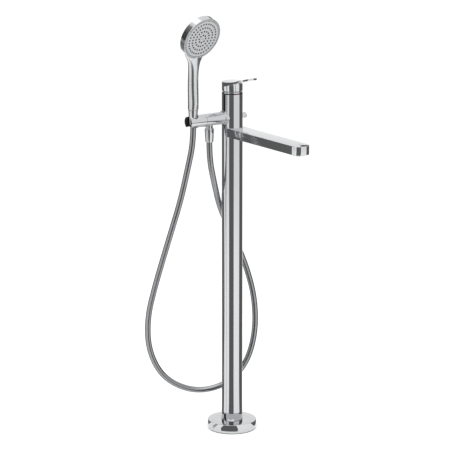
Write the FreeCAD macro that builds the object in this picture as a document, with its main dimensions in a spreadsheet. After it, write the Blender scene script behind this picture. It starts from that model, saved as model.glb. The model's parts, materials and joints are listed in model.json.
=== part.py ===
import FreeCAD, Part
import math
import os

import Sketcher
from FreeCAD import Placement, Rotation, Vector

# Floor standing bath filler: a round column on a floor disc, with a flat spout, a single lever
# mixer on top, a pull knob diverter, and a short arm that feeds a hose and holds a handset.
# Origin: column axis at floor level. +Z is up, the spout points to -Y, the holder arm to -X.

doc = FreeCAD.newDocument("BathFiller")
sheet = doc.addObject("Spreadsheet::Sheet", "Sizes")
sheet.Label = "Sizes"

SIZES = [
    # alias, value in millimetres or degrees, what it is
    ("running_gap", 0.05, "radial gap of a fitted or turning pair"),
    ("loose_gap", 0.3, "gap between pieces that only pass each other"),
    # column
    ("column_dia", 52.0, "outside of the column tube"),
    ("column_wall", 2.0, "wall of the column tube"),
    ("column_top", 854.5, "height of the tube's upper end"),
    # floor fixing
    ("cover_dia", 121.0, "outside of the floor cover"),
    ("cover_height", 23.0, "top of the floor cover"),
    ("cover_wall", 2.5, "wall of the floor cover"),
    ("cover_round", 1.0, "rounding of the floor cover's upper edge"),
    ("gasket_thick", 1.2, "floor gasket under the cover's rim"),
    ("gasket_width", 4.0, "radial width of the floor gasket"),
    ("flange_thick", 12.0, "thickness of the floor flange"),
    ("spigot_wall", 3.0, "wall of the flange's spigot"),
    ("spigot_top", 75.0, "height of the spigot inside the column"),
    ("anchor_circle", 80.0, "pitch circle of the floor anchor holes"),
    ("anchor_hole", 8.5, "floor anchor hole"),
    ("anchor_count", 4, "floor anchor holes"),
    ("clamp_screw_dia", 6.0, "set screws that clamp the column"),
    ("clamp_screw_height", 16.5, "height of the set screws"),
    ("clamp_screw_count", 3, "set screws round the column"),
    ("clamp_key", 3.0, "hexagon socket of the set screws"),
    ("seal_height", 2.6, "height of the rubber ring under the cover's top"),
    ("seal_width", 3.4, "radial width of that ring"),
    # supplies
    ("supply_pitch", 20.0, "distance between the supply pipes at the floor"),
    ("supply_dia", 12.0, "outside of a supply pipe"),
    ("supply_wall", 1.0, "wall of a supply pipe"),
    ("supply_shift", 12.0, "set back of the pipes where they enter the valve"),
    ("union_flats", 19.0, "hexagon of the inlet unions"),
    ("union_bottom", 4.0, "height of the inlet unions' lower face"),
    ("union_length", 16.0, "length of an inlet union"),
    ("union_thread_dia", 15.0, "core of the inlet thread"),
    ("union_thread_depth", 10.0, "depth of the inlet thread"),
    # valve
    ("pipe_socket", 14.0, "depth of the pipe sockets"),
    ("cartridge_dia", 35.0, "outside of the cartridge"),
    ("cartridge_bore", 24.0, "hollow that the turning guide runs in"),
    ("nut_dia", 42.0, "outside of the cartridge nut"),
    ("nut_bore", 31.0, "bore of the cartridge nut"),
    ("nut_notch_dia", 4.0, "round key notches in the nut's bore"),
    ("nut_notch_depth", 3.0, "depth of the key notches"),
    ("nut_notch_count", 6, "key notches"),
    ("port_dia", 8.0, "water ports in the valve body"),
    ("chamber_dia", 13.0, "diverter chamber"),
    ("stem_width", 7.0, "square lever stem"),
    ("pin_dia", 3.0, "tilt pin"),
    # rings under the lever
    ("index_height", 3.0, "black ring that carries the marks"),
    ("trim_height", 2.5, "bright ring over it"),
    ("ring_bore", 44.0, "bore of both rings"),
    ("neck_dia", 46.4, "reduced neck under the lever"),
    ("neck_height", 1.0, "height of the neck"),
    ("mark_depth", 0.4, "depth of the coloured marks"),
    ("mark_angle", 24.0, "arc of each mark"),
    # lever
    ("lever_wall", 2.5, "wall of the lever cap"),
    ("lever_reach", 84.0, "blade tip from the column axis"),
    ("lever_tip_width", 21.0, "width of the blade at its tip"),
    ("lever_tip_round", 6.0, "rounding of the tip's corners"),
    ("lever_under_sag", 2.0, "sag of the underside below its chord"),
    ("scoop_low_back", 24.0, "that point's distance behind the axis"),
    ("scoop_length_radius", 215.0, "curve of the scoop along the blade"),
    ("scoop_width_radius", 39.0, "curve of the scoop across the blade"),
    ("hub_dia", 16.0, "hub under the roof that takes the stem"),
    ("hub_lift", 1.0, "hub's lower face over the cap's rim"),
    ("grub_dia", 4.0, "grub screw that holds the lever"),
    ("grub_length", 8.0, "length of the grub screw"),
    ("plug_dia", 4.6, "plug over the grub screw"),
    ("plug_depth", 2.5, "depth of the plug"),
    # spout
    ("spout_height", 22.0, "height of the spout"),
    ("spout_width", 46.5, "width of the spout"),
    ("spout_reach", 295.5, "outermost point of the rounded end"),
    ("spout_round", 0.9, "rounding of the spout's long edges"),
    ("spout_wall", 3.0, "wall of the spout"),
    ("nipple_dia", 16.0, "pipe between valve and spout"),
    ("nipple_wall", 2.0, "wall of that pipe"),
    ("nipple_inner", 6.0, "inner end of that pipe"),
    ("nipple_outer", 40.0, "outer end of that pipe"),
    ("channel_start", 34.0, "start of the spout's hollow"),
    ("aerator_dia", 31.0, "aerator ring"),
    ("aerator_drop", 3.2, "how far the aerator stands below the spout"),
    ("aerator_bore", 23.0, "aerator hole"),
    ("aerator_socket", 26.0, "threaded part of the aerator"),
    ("key_notch_count", 8, "key notches in the aerator ring"),
    ("key_notch_width", 3.0, "width of a key notch"),
    ("key_notch_depth", 1.6, "depth of a key notch"),
    ("jet_slot_count", 12, "slots in the aerator insert"),
    ("jet_slot_inner", 5.8, "inner end of a slot from the aerator's axis"),
    ("jet_slot_outer", 9.7, "outer end of a slot from the aerator's axis"),
    ("jet_slot_width", 2.0, "width of a slot"),
    # arm and hose outlet
    ("arm_dia", 31.3, "arm and holder"),
    ("arm_bore", 12.0, "waterway in the arm"),
    ("arm_collar_dia", 34.0, "small collar at the column"),
    ("arm_collar_end", 29.5, "outer face of the collar"),
    ("arm_tail_dia", 16.0, "tail of the arm in the valve body"),
    ("arm_tail_inner", 14.0, "inner end of the tail"),
    ("swivel_dia", 20.0, "spigot that the holder turns on"),
    ("outlet_neck_dia", 17.5, "neck of the outlet"),
    ("outlet_thread_dia", 20.4, "half inch outlet thread"),
    ("outlet_bore", 11.0, "waterway in the outlet"),
    ("cone_small_dia", 19.8, "small end of a hose nut"),
    ("cone_large_dia", 24.0, "large end of a hose nut"),
    ("cone_edge", 0.6, "small chamfer on both ends of a hose nut"),
    ("washer_thick", 2.0, "hose washer"),
    ("washer_bore", 9.0, "hole through washers, nuts and tail"),
    # holder
    ("holder_wall", 1.6, "wall of the holder sleeve"),
    ("holder_slot", 17.6, "slot that lets the hose out"),
    ("rim_dia", 25.4, "rim of the liner round the nut"),
    ("swivel_screw_dia", 5.0, "screw that keeps the holder on"),
    ("screw_depth", 9.0, "depth of that screw in the spigot"),
    ("seat_reach", 116.2, "handset seat from the column axis"),
    # handset
    ("handset_turn", 5.7, "turn of the handset in its seat"),
    ("handle_dia", 26.4, "handle at its lower end"),
    ("head_dia", 108.0, "spray head"),
    ("tail_depth", 20.0, "how far the tail goes into the handle"),
    ("head_edge", 0.8, "rounding of the head's front edge"),
    ("head_rim", 16.5, "thickness of the head's rim"),
    ("head_dome", 8.0, "rise of the head's domed back"),
    ("shoulder_radius", 37.4, "a point that the dome passes, from the head's axis"),
    ("shoulder_rise", 4.2, "that point's height over the rim"),
    ("head_forward", 34.9, "face centre before the handle axis"),
    ("head_tilt", 21.8, "how far the face looks down"),
    ("face_dia", 97.0, "spray face"),
    ("face_depth", 3.0, "depth of the recess for the spray face"),
    ("face_setback", 0.2, "spray face behind the rim"),
    ("face_ring_width", 1.4, "ring round the spray face"),
    ("nozzle_rings", 4, "rings of nozzles"),
    ("nozzle_pitch", 10.0, "step from ring to ring"),
    ("nozzle_dia", 2.7, "nozzle at its root"),
    ("nozzle_rise", 0.9, "height of a nozzle"),
    ("nozzle_taper", 8.0, "slope of a nozzle's sides"),
    ("nozzle_step", 8, "nozzles in the first ring, and more in each next one"),
    ("face_screw_dia", 3.4, "screw head at the face centre"),
    # diverter
    ("knob_dia", 14.3, "diverter knob"),
    ("knob_end", 39.5, "outer end of the knob"),
    ("knob_start", 27.0, "inner end of the knob"),
    ("knob_edge", 0.8, "chamfer of the knob"),
    ("knob_socket", 33.0, "depth that the spindle reaches in the knob"),
    ("spindle_dia", 5.0, "diverter spindle"),
    ("spindle_inner", -13.0, "inner end of the spindle"),
    ("bush_inner", 13.0, "inner end of the diverter bush"),
    ("diverter_disc", 11.4, "sealing disc of the diverter"),
    ("disc_thick", 3.0, "thickness of the sealing disc"),
    ("spring_wire", 0.9, "wire of the diverter spring"),
    ("spring_dia", 8.2, "mean diameter of the spring"),
    ("spring_turns", 4, "turns of the spring"),
    ("spring_steps", 16, "sections in one turn of the spring"),
    ("spring_sides", 8, "corners of one section"),
    # hose
    ("hose_dia", 14.7, "outside of the hose"),
    ("hose_drop", 43.0, "straight end of the hose's route under each nut"),
]

# Degrees about +Z that point to the user.
FRONT = -90

PLACES = [
    # alias, the size that it is measured from, distance from that, what it is
    # floor fixing
    ("flange_dia", "cover_dia", -17.0, "outside of the floor flange"),
    # valve and lever
    ("valve_bottom", "column_top", -116.5, "lower end of the valve body"),
    ("cartridge_bottom", "column_top", -34.0, "seat of the cartridge"),
    ("cartridge_top", "cartridge_bottom", 25.5, "upper end of the cartridge"),
    ("nut_top", "cartridge_top", 10.0, "upper face of the cartridge nut"),
    ("guide_bottom", "cartridge_bottom", 1.5, "lower end of the turning guide"),
    ("guide_top", "cartridge_top", 2.0, "upper end of the turning guide"),
    ("pivot_height", "guide_bottom", 8.0, "height of the lever's tilt axis"),
    ("stem_bottom", "pivot_height", -5.5, "lower end of the stem"),
    ("lever_bottom", "column_top", 8.0, "rim of the lever cap"),
    ("lever_roof", "lever_bottom", 6.0, "underside of the cap's roof"),
    ("stem_top", "lever_roof", 3.0, "upper end of the stem"),
    ("grub_height", "lever_roof", 1.3, "height of the grub screw"),
    ("lever_root_under", "lever_roof", 1.0, "underside of the blade at the column axis"),
    ("lever_tip_under", "lever_root_under", 28.0, "underside of the blade at its tip"),
    ("lever_blank_top", "lever_tip_under", 10.5, "height that the scoop is cut from"),
    ("scoop_low", "lever_roof", 4.1, "lowest point of the scooped top"),
    # spout
    ("spout_top", "column_top", -83.0, "upper face of the spout"),
    ("aerator_reach", "spout_reach", -25.5, "aerator axis from the column axis"),
    # arm and hose outlet
    ("arm_height", "column_top", -58.0, "axis of the arm and of the diverter"),
    ("arm_end", "seat_reach", -31.7, "outer end of the fixed arm"),
    ("swivel_end", "seat_reach", -18.2, "outer end of the spigot"),
    ("outlet_reach", "arm_end", -16.1, "hose outlet from the column axis"),
    ("outlet_shoulder", "arm_height", -20.0, "height where neck and thread meet"),
    ("outlet_bottom", "outlet_shoulder", -14.5, "lower end of the outlet thread"),
    ("outlet_nut_top", "outlet_shoulder", -2.6, "upper face of the outlet nut"),
    ("outlet_nut_bottom", "outlet_nut_top", -32.2, "lower face of the outlet nut"),
    # holder
    ("holder_start", "arm_end", 0.6, "inner end of the holder sleeve"),
    ("holder_end", "seat_reach", 14.8, "outer end of the holder sleeve"),
    ("holder_floor", "swivel_end", 1.0, "inner face of the sleeve's hollow"),
    ("insert_start", "holder_floor", 2.6, "inner end of the liner"),
    # handset
    ("handset_nut_bottom", "arm_height", -7.2, "lower face of the handset nut"),
    ("handset_nut_top", "handset_nut_bottom", 37.0, "upper face of the handset nut"),
    ("handle_bottom", "handset_nut_top", 0.9, "lower end of the handle"),
    ("tail_bottom", "handset_nut_bottom", 23.0, "lower end of the handset's tail"),
    ("head_height", "handle_bottom", 176.0, "height of the face centre"),
    ("grip_top", "head_height", -121.3, "upper end of the straight grip"),
]

NECK_STATIONS = [
    # name, drop under the face centre, forward of the handle's axis, width, depth, forward lean
    ("stalk", 95.2, 0.6, 26.2, 25.2, 1.0),
    ("throat", 70.2, 2.6, 30.0, 24.0, 6.0),
    ("spoon", 54.2, 4.4, 41.0, 22.6, 12.0),
    ("shoulder", 42.2, 6.4, 58.0, 21.0, 18.0),
    ("crown", 27.2, 12.4, 68.0, 18.0, 21.8),
]
for station, *values in NECK_STATIONS:
    for kind, value in zip(("drop", "forward", "width", "depth", "lean"), values):
        SIZES.append((f"{station}_{kind}", value, f"{kind} of the handle's section at the {station}"))

for alias, base, distance, meaning in PLACES:
    SIZES.append((f"{alias}_offset", distance, f"distance from {base}: {meaning}"))
    SIZES.append((alias, f"={base} + {alias}_offset", meaning))

for row, (alias, value, meaning) in enumerate(SIZES, start=1):
    sheet.set(f"A{row}", meaning)
    sheet.set(f"B{row}", str(value))
    sheet.setAlias(f"B{row}", alias)
doc.recompute()


def size(alias):
    """One dimension as a number, free of the sheet's rounding in the last digits."""
    return round(float(sheet.get(alias)), 9)


def worth(formula):
    """The number that a formula on the sheet comes to."""
    return float(sheet.evalExpression(str(formula)))


# ---------------------------------------------------------------- ways of building

nodes = []
NIPPLE_HEIGHT = "Sizes.spout_top - Sizes.spout_height / 2"


def new_body(label):
    """An empty body whose label is the node's name."""
    body = doc.addObject("PartDesign::Body", label)
    body.Label = label
    nodes.append(body)
    return body


def new_solid(label, shape):
    """A sub-part whose shape comes from the functions of Part."""
    solid = doc.addObject("Part::Feature", label)
    solid.Label = label
    solid.Shape = shape
    nodes.append(solid)
    return solid


def set_along(body, direction, height="0"):
    """Turns a body's own +Z along a row axis and lifts its origin on the column axis."""
    turns = {
        "-X": Rotation(Vector(0, 1, 0), -90),
        "+X": Rotation(Vector(0, 1, 0), 90),
        "-Y": Rotation(Vector(1, 0, 0), 90),
        "+Z": Rotation(),
    }
    body.Placement = Placement(Vector(0, 0, worth(height)), turns[direction])
    body.setExpression("Placement.Base.z", height)


def sketch_on(body, role, name, offset=None):
    """A sketch on one of the body's own origin planes, moved along its normal by offset."""
    plane = next(item for item in body.Origin.OriginFeatures if item.Role == role)
    sketch = body.newObject("Sketcher::SketchObject", name)
    sketch.AttachmentSupport = [(plane, "")]
    sketch.MapMode = "FlatFace"
    if offset is not None:
        sketch.setExpression("AttachmentOffset.Base.z", offset)
    return sketch


def pin_point(sketch, geometry, end, across, up):
    """Holds one point of a sketch at two formulas."""
    for kind, formula in (("DistanceX", across), ("DistanceY", up)):
        number = sketch.addConstraint(
            Sketcher.Constraint(kind, -1, 1, geometry, end, worth(formula))
        )
        sketch.setExpression(f"Constraints[{number}]", formula)


def add_outline(sketch, corners):
    """A closed outline. A corner is (across, up), or (across, up, radius) after an arc.

    A positive radius bends the stretch that ends at the corner to the left of its chord.
    """
    first = sketch.GeometryCount
    count = len(corners)
    places = [Vector(worth(corner[0]), worth(corner[1]), 0) for corner in corners]
    for index, corner in enumerate(corners):
        start = places[index - 1]
        finish = places[index]
        if len(corner) == 3:
            radius = worth(corner[2])
            chord = finish - start
            left = Vector(-chord.y, chord.x, 0).normalize()
            rise = abs(radius) - math.sqrt(radius**2 - (chord.Length / 2) ** 2)
            middle = (start + finish) / 2 + left * math.copysign(rise, radius)
            sketch.addGeometry(Part.Arc(start, middle, finish), False)
        else:
            sketch.addGeometry(Part.LineSegment(start, finish), False)
    ends = []
    for index in range(count):
        geometry = first + index
        begin = sketch.getPoint(geometry, 1)
        forward = (begin - places[index - 1]).Length < (begin - places[index]).Length
        ends.append((1, 2) if forward else (2, 1))
    for index in range(count):
        following = (index + 1) % count
        sketch.addConstraint(
            Sketcher.Constraint(
                "Coincident",
                first + index,
                ends[index][1],
                first + following,
                ends[following][0],
            )
        )
        pin_point(sketch, first + index, ends[index][1], *corners[index][:2])
        if len(corners[index]) == 3:
            number = sketch.addConstraint(
                Sketcher.Constraint("Radius", first + index, abs(worth(corners[index][2])))
            )
            sketch.setExpression(f"Constraints[{number}]", f"abs({corners[index][2]})")


def add_circle(sketch, diameter, across="0", up="0"):
    """A circle held at two formulas, with its diameter bound to a third."""
    centre = Vector(worth(across), worth(up), 0)
    geometry = sketch.addGeometry(
        Part.Circle(centre, Vector(0, 0, 1), worth(diameter) / 2), False
    )
    pin_point(sketch, geometry, 3, across, up)
    number = sketch.addConstraint(
        Sketcher.Constraint("Diameter", geometry, worth(diameter))
    )
    sketch.setExpression(f"Constraints[{number}]", diameter)


def turned(body, name, corners, cut=False, angle=360):
    """A profile in the body's XZ plane, turned about its Z axis, as stock or as a cut."""
    sketch = sketch_on(body, "XZ_Plane", name + "_profile")
    add_outline(sketch, corners)
    kind = "PartDesign::Groove" if cut else "PartDesign::Revolution"
    feature = body.newObject(kind, name)
    feature.Profile = sketch
    feature.ReferenceAxis = (sketch, ["V_Axis"])
    feature.Angle = angle
    return feature


def ring_corners(inner, outer, low, high):
    """The four corners of a plain ring's section, from two diameters and two heights."""
    return [
        (f"({inner}) / 2", low),
        (f"({outer}) / 2", low),
        (f"({outer}) / 2", high),
        (f"({inner}) / 2", high),
    ]


def padded(body, name, sketch, length, midplane=False, backward=False):
    """Stock pushed out of a sketch."""
    feature = body.newObject("PartDesign::Pad", name)
    feature.Profile = sketch
    feature.Midplane = midplane
    feature.Reversed = backward
    feature.setExpression("Length", length)
    return feature


def pocketed(body, name, sketch, length, midplane=False, backward=False):
    """A cut pushed out of a sketch, which must take something away."""
    before = body.Tip
    doc.recompute()
    volume = before.Shape.Volume
    feature = body.newObject("PartDesign::Pocket", name)
    feature.Profile = sketch
    feature.Midplane = midplane
    feature.Reversed = backward
    feature.setExpression("Length", length)
    doc.recompute()
    if feature.Shape.Volume > volume - 1e-6:
        raise RuntimeError(f"{body.Label}.{name} cuts nothing")
    return feature


def repeated(body, name, feature, count, axis_role="Z_Axis"):
    """A polar pattern of one feature round the body's own axis."""
    axis = next(item for item in body.Origin.OriginFeatures if item.Role == axis_role)
    pattern = body.newObject("PartDesign::PolarPattern", name)
    pattern.Originals = [feature]
    pattern.Axis = (axis, [""])
    pattern.Angle = 360
    pattern.setExpression("Occurrences", count)
    body.Tip = pattern
    return pattern


def round_edges(body, name, radius, wanted, kind="Fillet"):
    """Rounds or chamfers the edges of the body's tip that the test picks out."""
    doc.recompute()
    base = body.Tip
    picked = [
        f"Edge{number}"
        for number, edge in enumerate(base.Shape.Edges, start=1)
        if wanted(edge)
    ]
    if not picked:
        raise RuntimeError(f"{body.Label}.{name} finds no edge")
    feature = body.newObject(f"PartDesign::{kind}", name)
    feature.Base = (base, picked)
    feature.setExpression("Size" if kind == "Chamfer" else "Radius", radius)
    return feature


def circle_at(height, diameter):
    """A test for a full circle about the body's axis at one height and diameter."""

    def wanted(edge):
        curve = edge.Curve
        return (
            isinstance(curve, Part.Circle)
            and abs(curve.Radius - worth(diameter) / 2) < 1e-3
            and abs(edge.BoundBox.ZMin - worth(height)) < 1e-3
            and abs(edge.BoundBox.ZMax - worth(height)) < 1e-3
        )

    return wanted


def polygon_corners(sides, across_flats, across="0", up="0"):
    """The corners of a regular polygon with a flat on each side of the sketch's X axis."""
    corners = []
    for side in range(sides):
        angle = (side + 0.5) * 360 / sides
        reach = f"({across_flats}) / 2 / cos({180 / sides} deg)"
        corners.append(
            (
                f"{across} + {reach} * cos({angle} deg)",
                f"{up} + {reach} * sin({angle} deg)",
            )
        )
    return corners


# ---------------------------------------------------------------- floor fixing


def make_floor_flange():
    """The flange plate on the floor, and the spigot in it that the column stands over."""
    body = new_body("floor_flange")
    spigot = "(Sizes.column_dia - 2 * Sizes.column_wall - 2 * Sizes.running_gap)"
    seat = f"{spigot} + 2 * Sizes.running_gap"
    turned(body, "plate", ring_corners(seat, "Sizes.flange_dia", "0", "Sizes.flange_thick"))
    anchor = sketch_on(body, "XY_Plane", "anchor_circle")
    add_circle(
        anchor,
        "Sizes.anchor_hole",
        "Sizes.anchor_circle / 2 * cos(45 deg)",
        "Sizes.anchor_circle / 2 * sin(45 deg)",
    )
    hole = pocketed(body, "anchor_hole", anchor, "Sizes.flange_thick", backward=True)
    repeated(body, "anchor_holes", hole, "Sizes.anchor_count")

    tube = new_body("flange_spigot")
    bore = f"{spigot} - 2 * Sizes.spigot_wall"
    turned(tube, "tube", ring_corners(bore, spigot, "0", "Sizes.spigot_top"))
    cut_screw_holes(tube, "Sizes.clamp_screw_dia")


def cut_screw_holes(body, diameter):
    """Radial holes for the set screws, in the column and in the spigot inside it."""
    sketch = sketch_on(body, "YZ_Plane", "screw_circle")
    add_circle(sketch, diameter, "0", "Sizes.clamp_screw_height")
    hole = pocketed(body, "screw_hole", sketch, "Sizes.column_dia", backward=True)
    repeated(body, "screw_holes", hole, "Sizes.clamp_screw_count")


def make_clamp_screws():
    body = new_body("clamp_screws")
    inner = "Sizes.column_dia / 2 - Sizes.column_wall - Sizes.spigot_wall"
    length = "Sizes.column_wall + Sizes.spigot_wall - Sizes.loose_gap"
    shank = sketch_on(body, "YZ_Plane", "shank_circle", inner)
    add_circle(shank, "Sizes.clamp_screw_dia - Sizes.running_gap", "0", "Sizes.clamp_screw_height")
    screw = padded(body, "screw", shank, length)
    socket = sketch_on(body, "YZ_Plane", "socket_outline", f"{inner} + {length}")
    add_outline(socket, polygon_corners(6, "Sizes.clamp_key", "0", "Sizes.clamp_screw_height"))
    recess = pocketed(body, "socket", socket, "Sizes.clamp_key")
    pattern = repeated(body, "screws", screw, "Sizes.clamp_screw_count")
    pattern.Originals = [screw, recess]
    return body


def make_floor_cover():
    body = new_body("floor_cover")
    hole = "Sizes.column_dia + 2 * Sizes.loose_gap"
    inside = "Sizes.cover_dia - 2 * Sizes.cover_wall"
    ceiling = "Sizes.cover_height - Sizes.cover_wall"
    turned(
        body,
        "shell",
        [
            (f"({inside}) / 2", "Sizes.gasket_thick"),
            ("Sizes.cover_dia / 2", "Sizes.gasket_thick"),
            ("Sizes.cover_dia / 2", "Sizes.cover_height"),
            (f"({hole}) / 2", "Sizes.cover_height"),
            (f"({hole}) / 2", ceiling),
            (f"({inside}) / 2", ceiling),
        ],
    )
    round_edges(body, "rim", "Sizes.cover_round", circle_at("Sizes.cover_height", "Sizes.cover_dia"))
    return body


def make_floor_gasket():
    body = new_body("floor_gasket")
    outer = "Sizes.cover_dia - 1"
    turned(
        body,
        "ring",
        ring_corners(f"{outer} - 2 * Sizes.gasket_width", outer, "0", "Sizes.gasket_thick"),
    )
    return body


def make_cover_seal():
    body = new_body("cover_seal")
    top = "Sizes.cover_height - Sizes.cover_wall"
    turned(
        body,
        "ring",
        ring_corners(
            "Sizes.column_dia",
            "Sizes.column_dia + 2 * Sizes.seal_width",
            f"{top} - Sizes.seal_height",
            top,
        ),
    )
    return body


# ---------------------------------------------------------------- tubes along a route


def rounded_path(route):
    """Straight runs joined by arcs, each arc as large as its two runs allow."""
    edges = []
    radii = []
    start = route[0]
    for before, corner, after in zip(route, route[1:], route[2:]):
        back = (before - corner).normalize()
        ahead = (after - corner).normalize()
        half_turn = (math.pi - back.getAngle(ahead)) / 2
        reach = 0.45 * min((before - corner).Length, (after - corner).Length)
        radius = reach / math.tan(half_turn)
        inward = (back + ahead).normalize()
        middle = corner + inward * (radius / math.cos(half_turn) - radius)
        entry = corner + back * reach
        leave = corner + ahead * reach
        edges.append(Part.LineSegment(start, entry).toShape())
        edges.append(Part.Arc(entry, middle, leave).toShape())
        radii.append(radius)
        start = leave
    edges.append(Part.LineSegment(start, route[-1]).toShape())
    return Part.Wire(edges), radii


def tube_along(label, route, outside, inside=0.0):
    """A round tube along a rounded path, checked against section times length."""
    path, radii = rounded_path(route)
    start = route[0]
    heading = route[1] - route[0]

    def pipe(diameter):
        circle = Part.Circle(start, heading, diameter / 2).toShape()
        face = Part.Face(Part.Wire(circle))
        return path.makePipe(face)

    tube = pipe(outside)
    if inside:
        tube = tube.cut(pipe(inside))
    section = math.pi / 4 * (outside**2 - inside**2)
    share = tube.Volume / (section * path.Length)
    print(
        f"{label}: {path.Length:.1f} mm long, volume {share:.4f} of section times length, "
        f"radii {', '.join(f'{radius:.0f}' for radius in radii)}"
    )
    if abs(share - 1) > 0.01:
        raise RuntimeError(f"{label} doesn't fill its route")
    return tube


# ---------------------------------------------------------------- supplies


def make_supply(side, name):
    """The inlet union and the pipe of one supply. side is -1 for hot and +1 for cold."""
    across = f"{side} * Sizes.supply_pitch / 2"
    union = new_body(f"{name}_inlet_union")
    outline = sketch_on(union, "XY_Plane", "hexagon", "Sizes.union_bottom")
    add_outline(outline, polygon_corners(6, "Sizes.union_flats", across))
    padded(union, "nut", outline, "Sizes.union_length")
    thread = sketch_on(union, "XY_Plane", "thread_circle", "Sizes.union_bottom")
    add_circle(thread, "Sizes.union_thread_dia", across)
    pocketed(union, "thread", thread, "Sizes.union_thread_depth", backward=True)
    socket = sketch_on(union, "XY_Plane", "pipe_circle", "Sizes.union_bottom")
    add_circle(socket, "Sizes.supply_dia + 2 * Sizes.running_gap", across)
    pocketed(union, "pipe_socket", socket, "Sizes.union_length", backward=True)

    x = side * size("supply_pitch") / 2
    low = size("union_bottom") + size("union_thread_depth")
    high = size("valve_bottom") + size("pipe_socket")
    shift = size("supply_shift")
    bend_start = size("valve_bottom") - 9 * shift
    bend_end = size("valve_bottom") - 3 * shift
    route = [
        Vector(x, 0, low),
        Vector(x, 0, bend_start),
        Vector(x, shift, bend_end),
        Vector(x, shift, high),
    ]
    outside = size("supply_dia")
    inside = outside - 2 * size("supply_wall")
    new_solid(f"{name}_supply_pipe", tube_along(f"{name}_supply_pipe", route, outside, inside))


# ---------------------------------------------------------------- column and valve


def make_column_tube():
    body = new_body("column_tube")
    turned(
        body,
        "tube",
        ring_corners(
            "Sizes.column_dia - 2 * Sizes.column_wall",
            "Sizes.column_dia",
            "Sizes.flange_thick",
            "Sizes.column_top",
        ),
    )
    cut_screw_holes(body, "Sizes.clamp_screw_dia + 2 * Sizes.loose_gap")
    cross_bore(body, "spout_hole", "-Y", "Sizes.nipple_dia + 2 * Sizes.loose_gap", NIPPLE_HEIGHT)
    cross_bore(body, "arm_hole", "-X", "Sizes.arm_tail_dia + 2 * Sizes.loose_gap", "Sizes.arm_height")
    cross_bore(body, "knob_hole", "+X", "Sizes.chamber_dia + 2 * Sizes.loose_gap", "Sizes.arm_height")
    return body


def cross_bore(body, name, direction, diameter, height, inner="0", outer="Sizes.column_dia"):
    """A bore across the column's axis from one distance to another along a direction."""
    role = "XZ_Plane" if direction == "-Y" else "YZ_Plane"
    backward = direction in ("+X", "-Y")
    side = "-1" if direction == "-X" else "1"
    sketch = sketch_on(body, role, name + "_circle", f"{side} * ({inner})")
    add_circle(sketch, diameter, "0", height)
    return pocketed(body, name, sketch, f"{outer} - ({inner})", backward=backward)


def make_valve_body():
    body = new_body("valve_body")
    outside = "Sizes.column_dia - 2 * Sizes.column_wall - 2 * Sizes.running_gap"
    turned(
        body,
        "casting",
        [
            ("0", "Sizes.valve_bottom"),
            (f"({outside}) / 2", "Sizes.valve_bottom"),
            (f"({outside}) / 2", "Sizes.column_top"),
            ("Sizes.nut_dia / 2 + Sizes.running_gap", "Sizes.column_top"),
            ("Sizes.nut_dia / 2 + Sizes.running_gap", "Sizes.cartridge_top"),
            ("Sizes.cartridge_dia / 2 + Sizes.running_gap", "Sizes.cartridge_top"),
            ("Sizes.cartridge_dia / 2 + Sizes.running_gap", "Sizes.cartridge_bottom"),
            ("0", "Sizes.cartridge_bottom"),
        ],
    )
    sockets = sketch_on(body, "XY_Plane", "socket_circles", "Sizes.valve_bottom")
    ports = sketch_on(body, "XY_Plane", "port_circles", "Sizes.valve_bottom")
    for side in (-1, 1):
        across = f"{side} * Sizes.supply_pitch / 2"
        add_circle(sockets, "Sizes.supply_dia + 2 * Sizes.running_gap", across, "Sizes.supply_shift")
        add_circle(ports, "Sizes.port_dia", across, "Sizes.supply_shift")
    pocketed(body, "pipe_sockets", sockets, "Sizes.pipe_socket", backward=True)
    rise = "Sizes.cartridge_bottom - Sizes.valve_bottom"
    pocketed(body, "supply_ports", ports, rise, backward=True)
    mixed = sketch_on(body, "XY_Plane", "mixed_circle", "Sizes.cartridge_bottom")
    add_circle(mixed, "Sizes.port_dia", "0", "0")
    drop = f"Sizes.cartridge_bottom - ({NIPPLE_HEIGHT})"
    pocketed(body, "mixed_port", mixed, drop)
    tail = "Sizes.arm_tail_dia + 2 * Sizes.running_gap"
    nipple = "Sizes.nipple_dia + 2 * Sizes.running_gap"
    level = "Sizes.arm_height"
    cross_bore(body, "chamber", "+X", "Sizes.chamber_dia", level, "Sizes.spindle_inner - 1")
    cross_bore(body, "arm_socket", "-X", tail, level, "Sizes.arm_tail_inner")
    cross_bore(body, "spout_socket", "-Y", nipple, NIPPLE_HEIGHT, "Sizes.nipple_inner")
    cross_bore(body, "spout_port", "-Y", "Sizes.port_dia", NIPPLE_HEIGHT)
    return body


def make_cartridge():
    body = new_body("cartridge_body")
    turned(
        body,
        "housing",
        [
            ("0", "Sizes.cartridge_bottom"),
            ("Sizes.cartridge_dia / 2", "Sizes.cartridge_bottom"),
            ("Sizes.cartridge_dia / 2", "Sizes.cartridge_top"),
            ("Sizes.cartridge_bore / 2", "Sizes.cartridge_top"),
            ("Sizes.cartridge_bore / 2", "Sizes.guide_bottom"),
            ("0", "Sizes.guide_bottom"),
        ],
    )
    nut = new_body("cartridge_nut")
    turned(
        nut,
        "nut",
        ring_corners("Sizes.nut_bore", "Sizes.nut_dia", "Sizes.cartridge_top", "Sizes.nut_top"),
    )
    notch = sketch_on(nut, "XY_Plane", "notch_circle", "Sizes.nut_top")
    add_circle(notch, "Sizes.nut_notch_dia", "Sizes.nut_bore / 2")
    slot = pocketed(nut, "notch", notch, "Sizes.nut_notch_depth")
    repeated(nut, "notches", slot, "Sizes.nut_notch_count")


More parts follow.
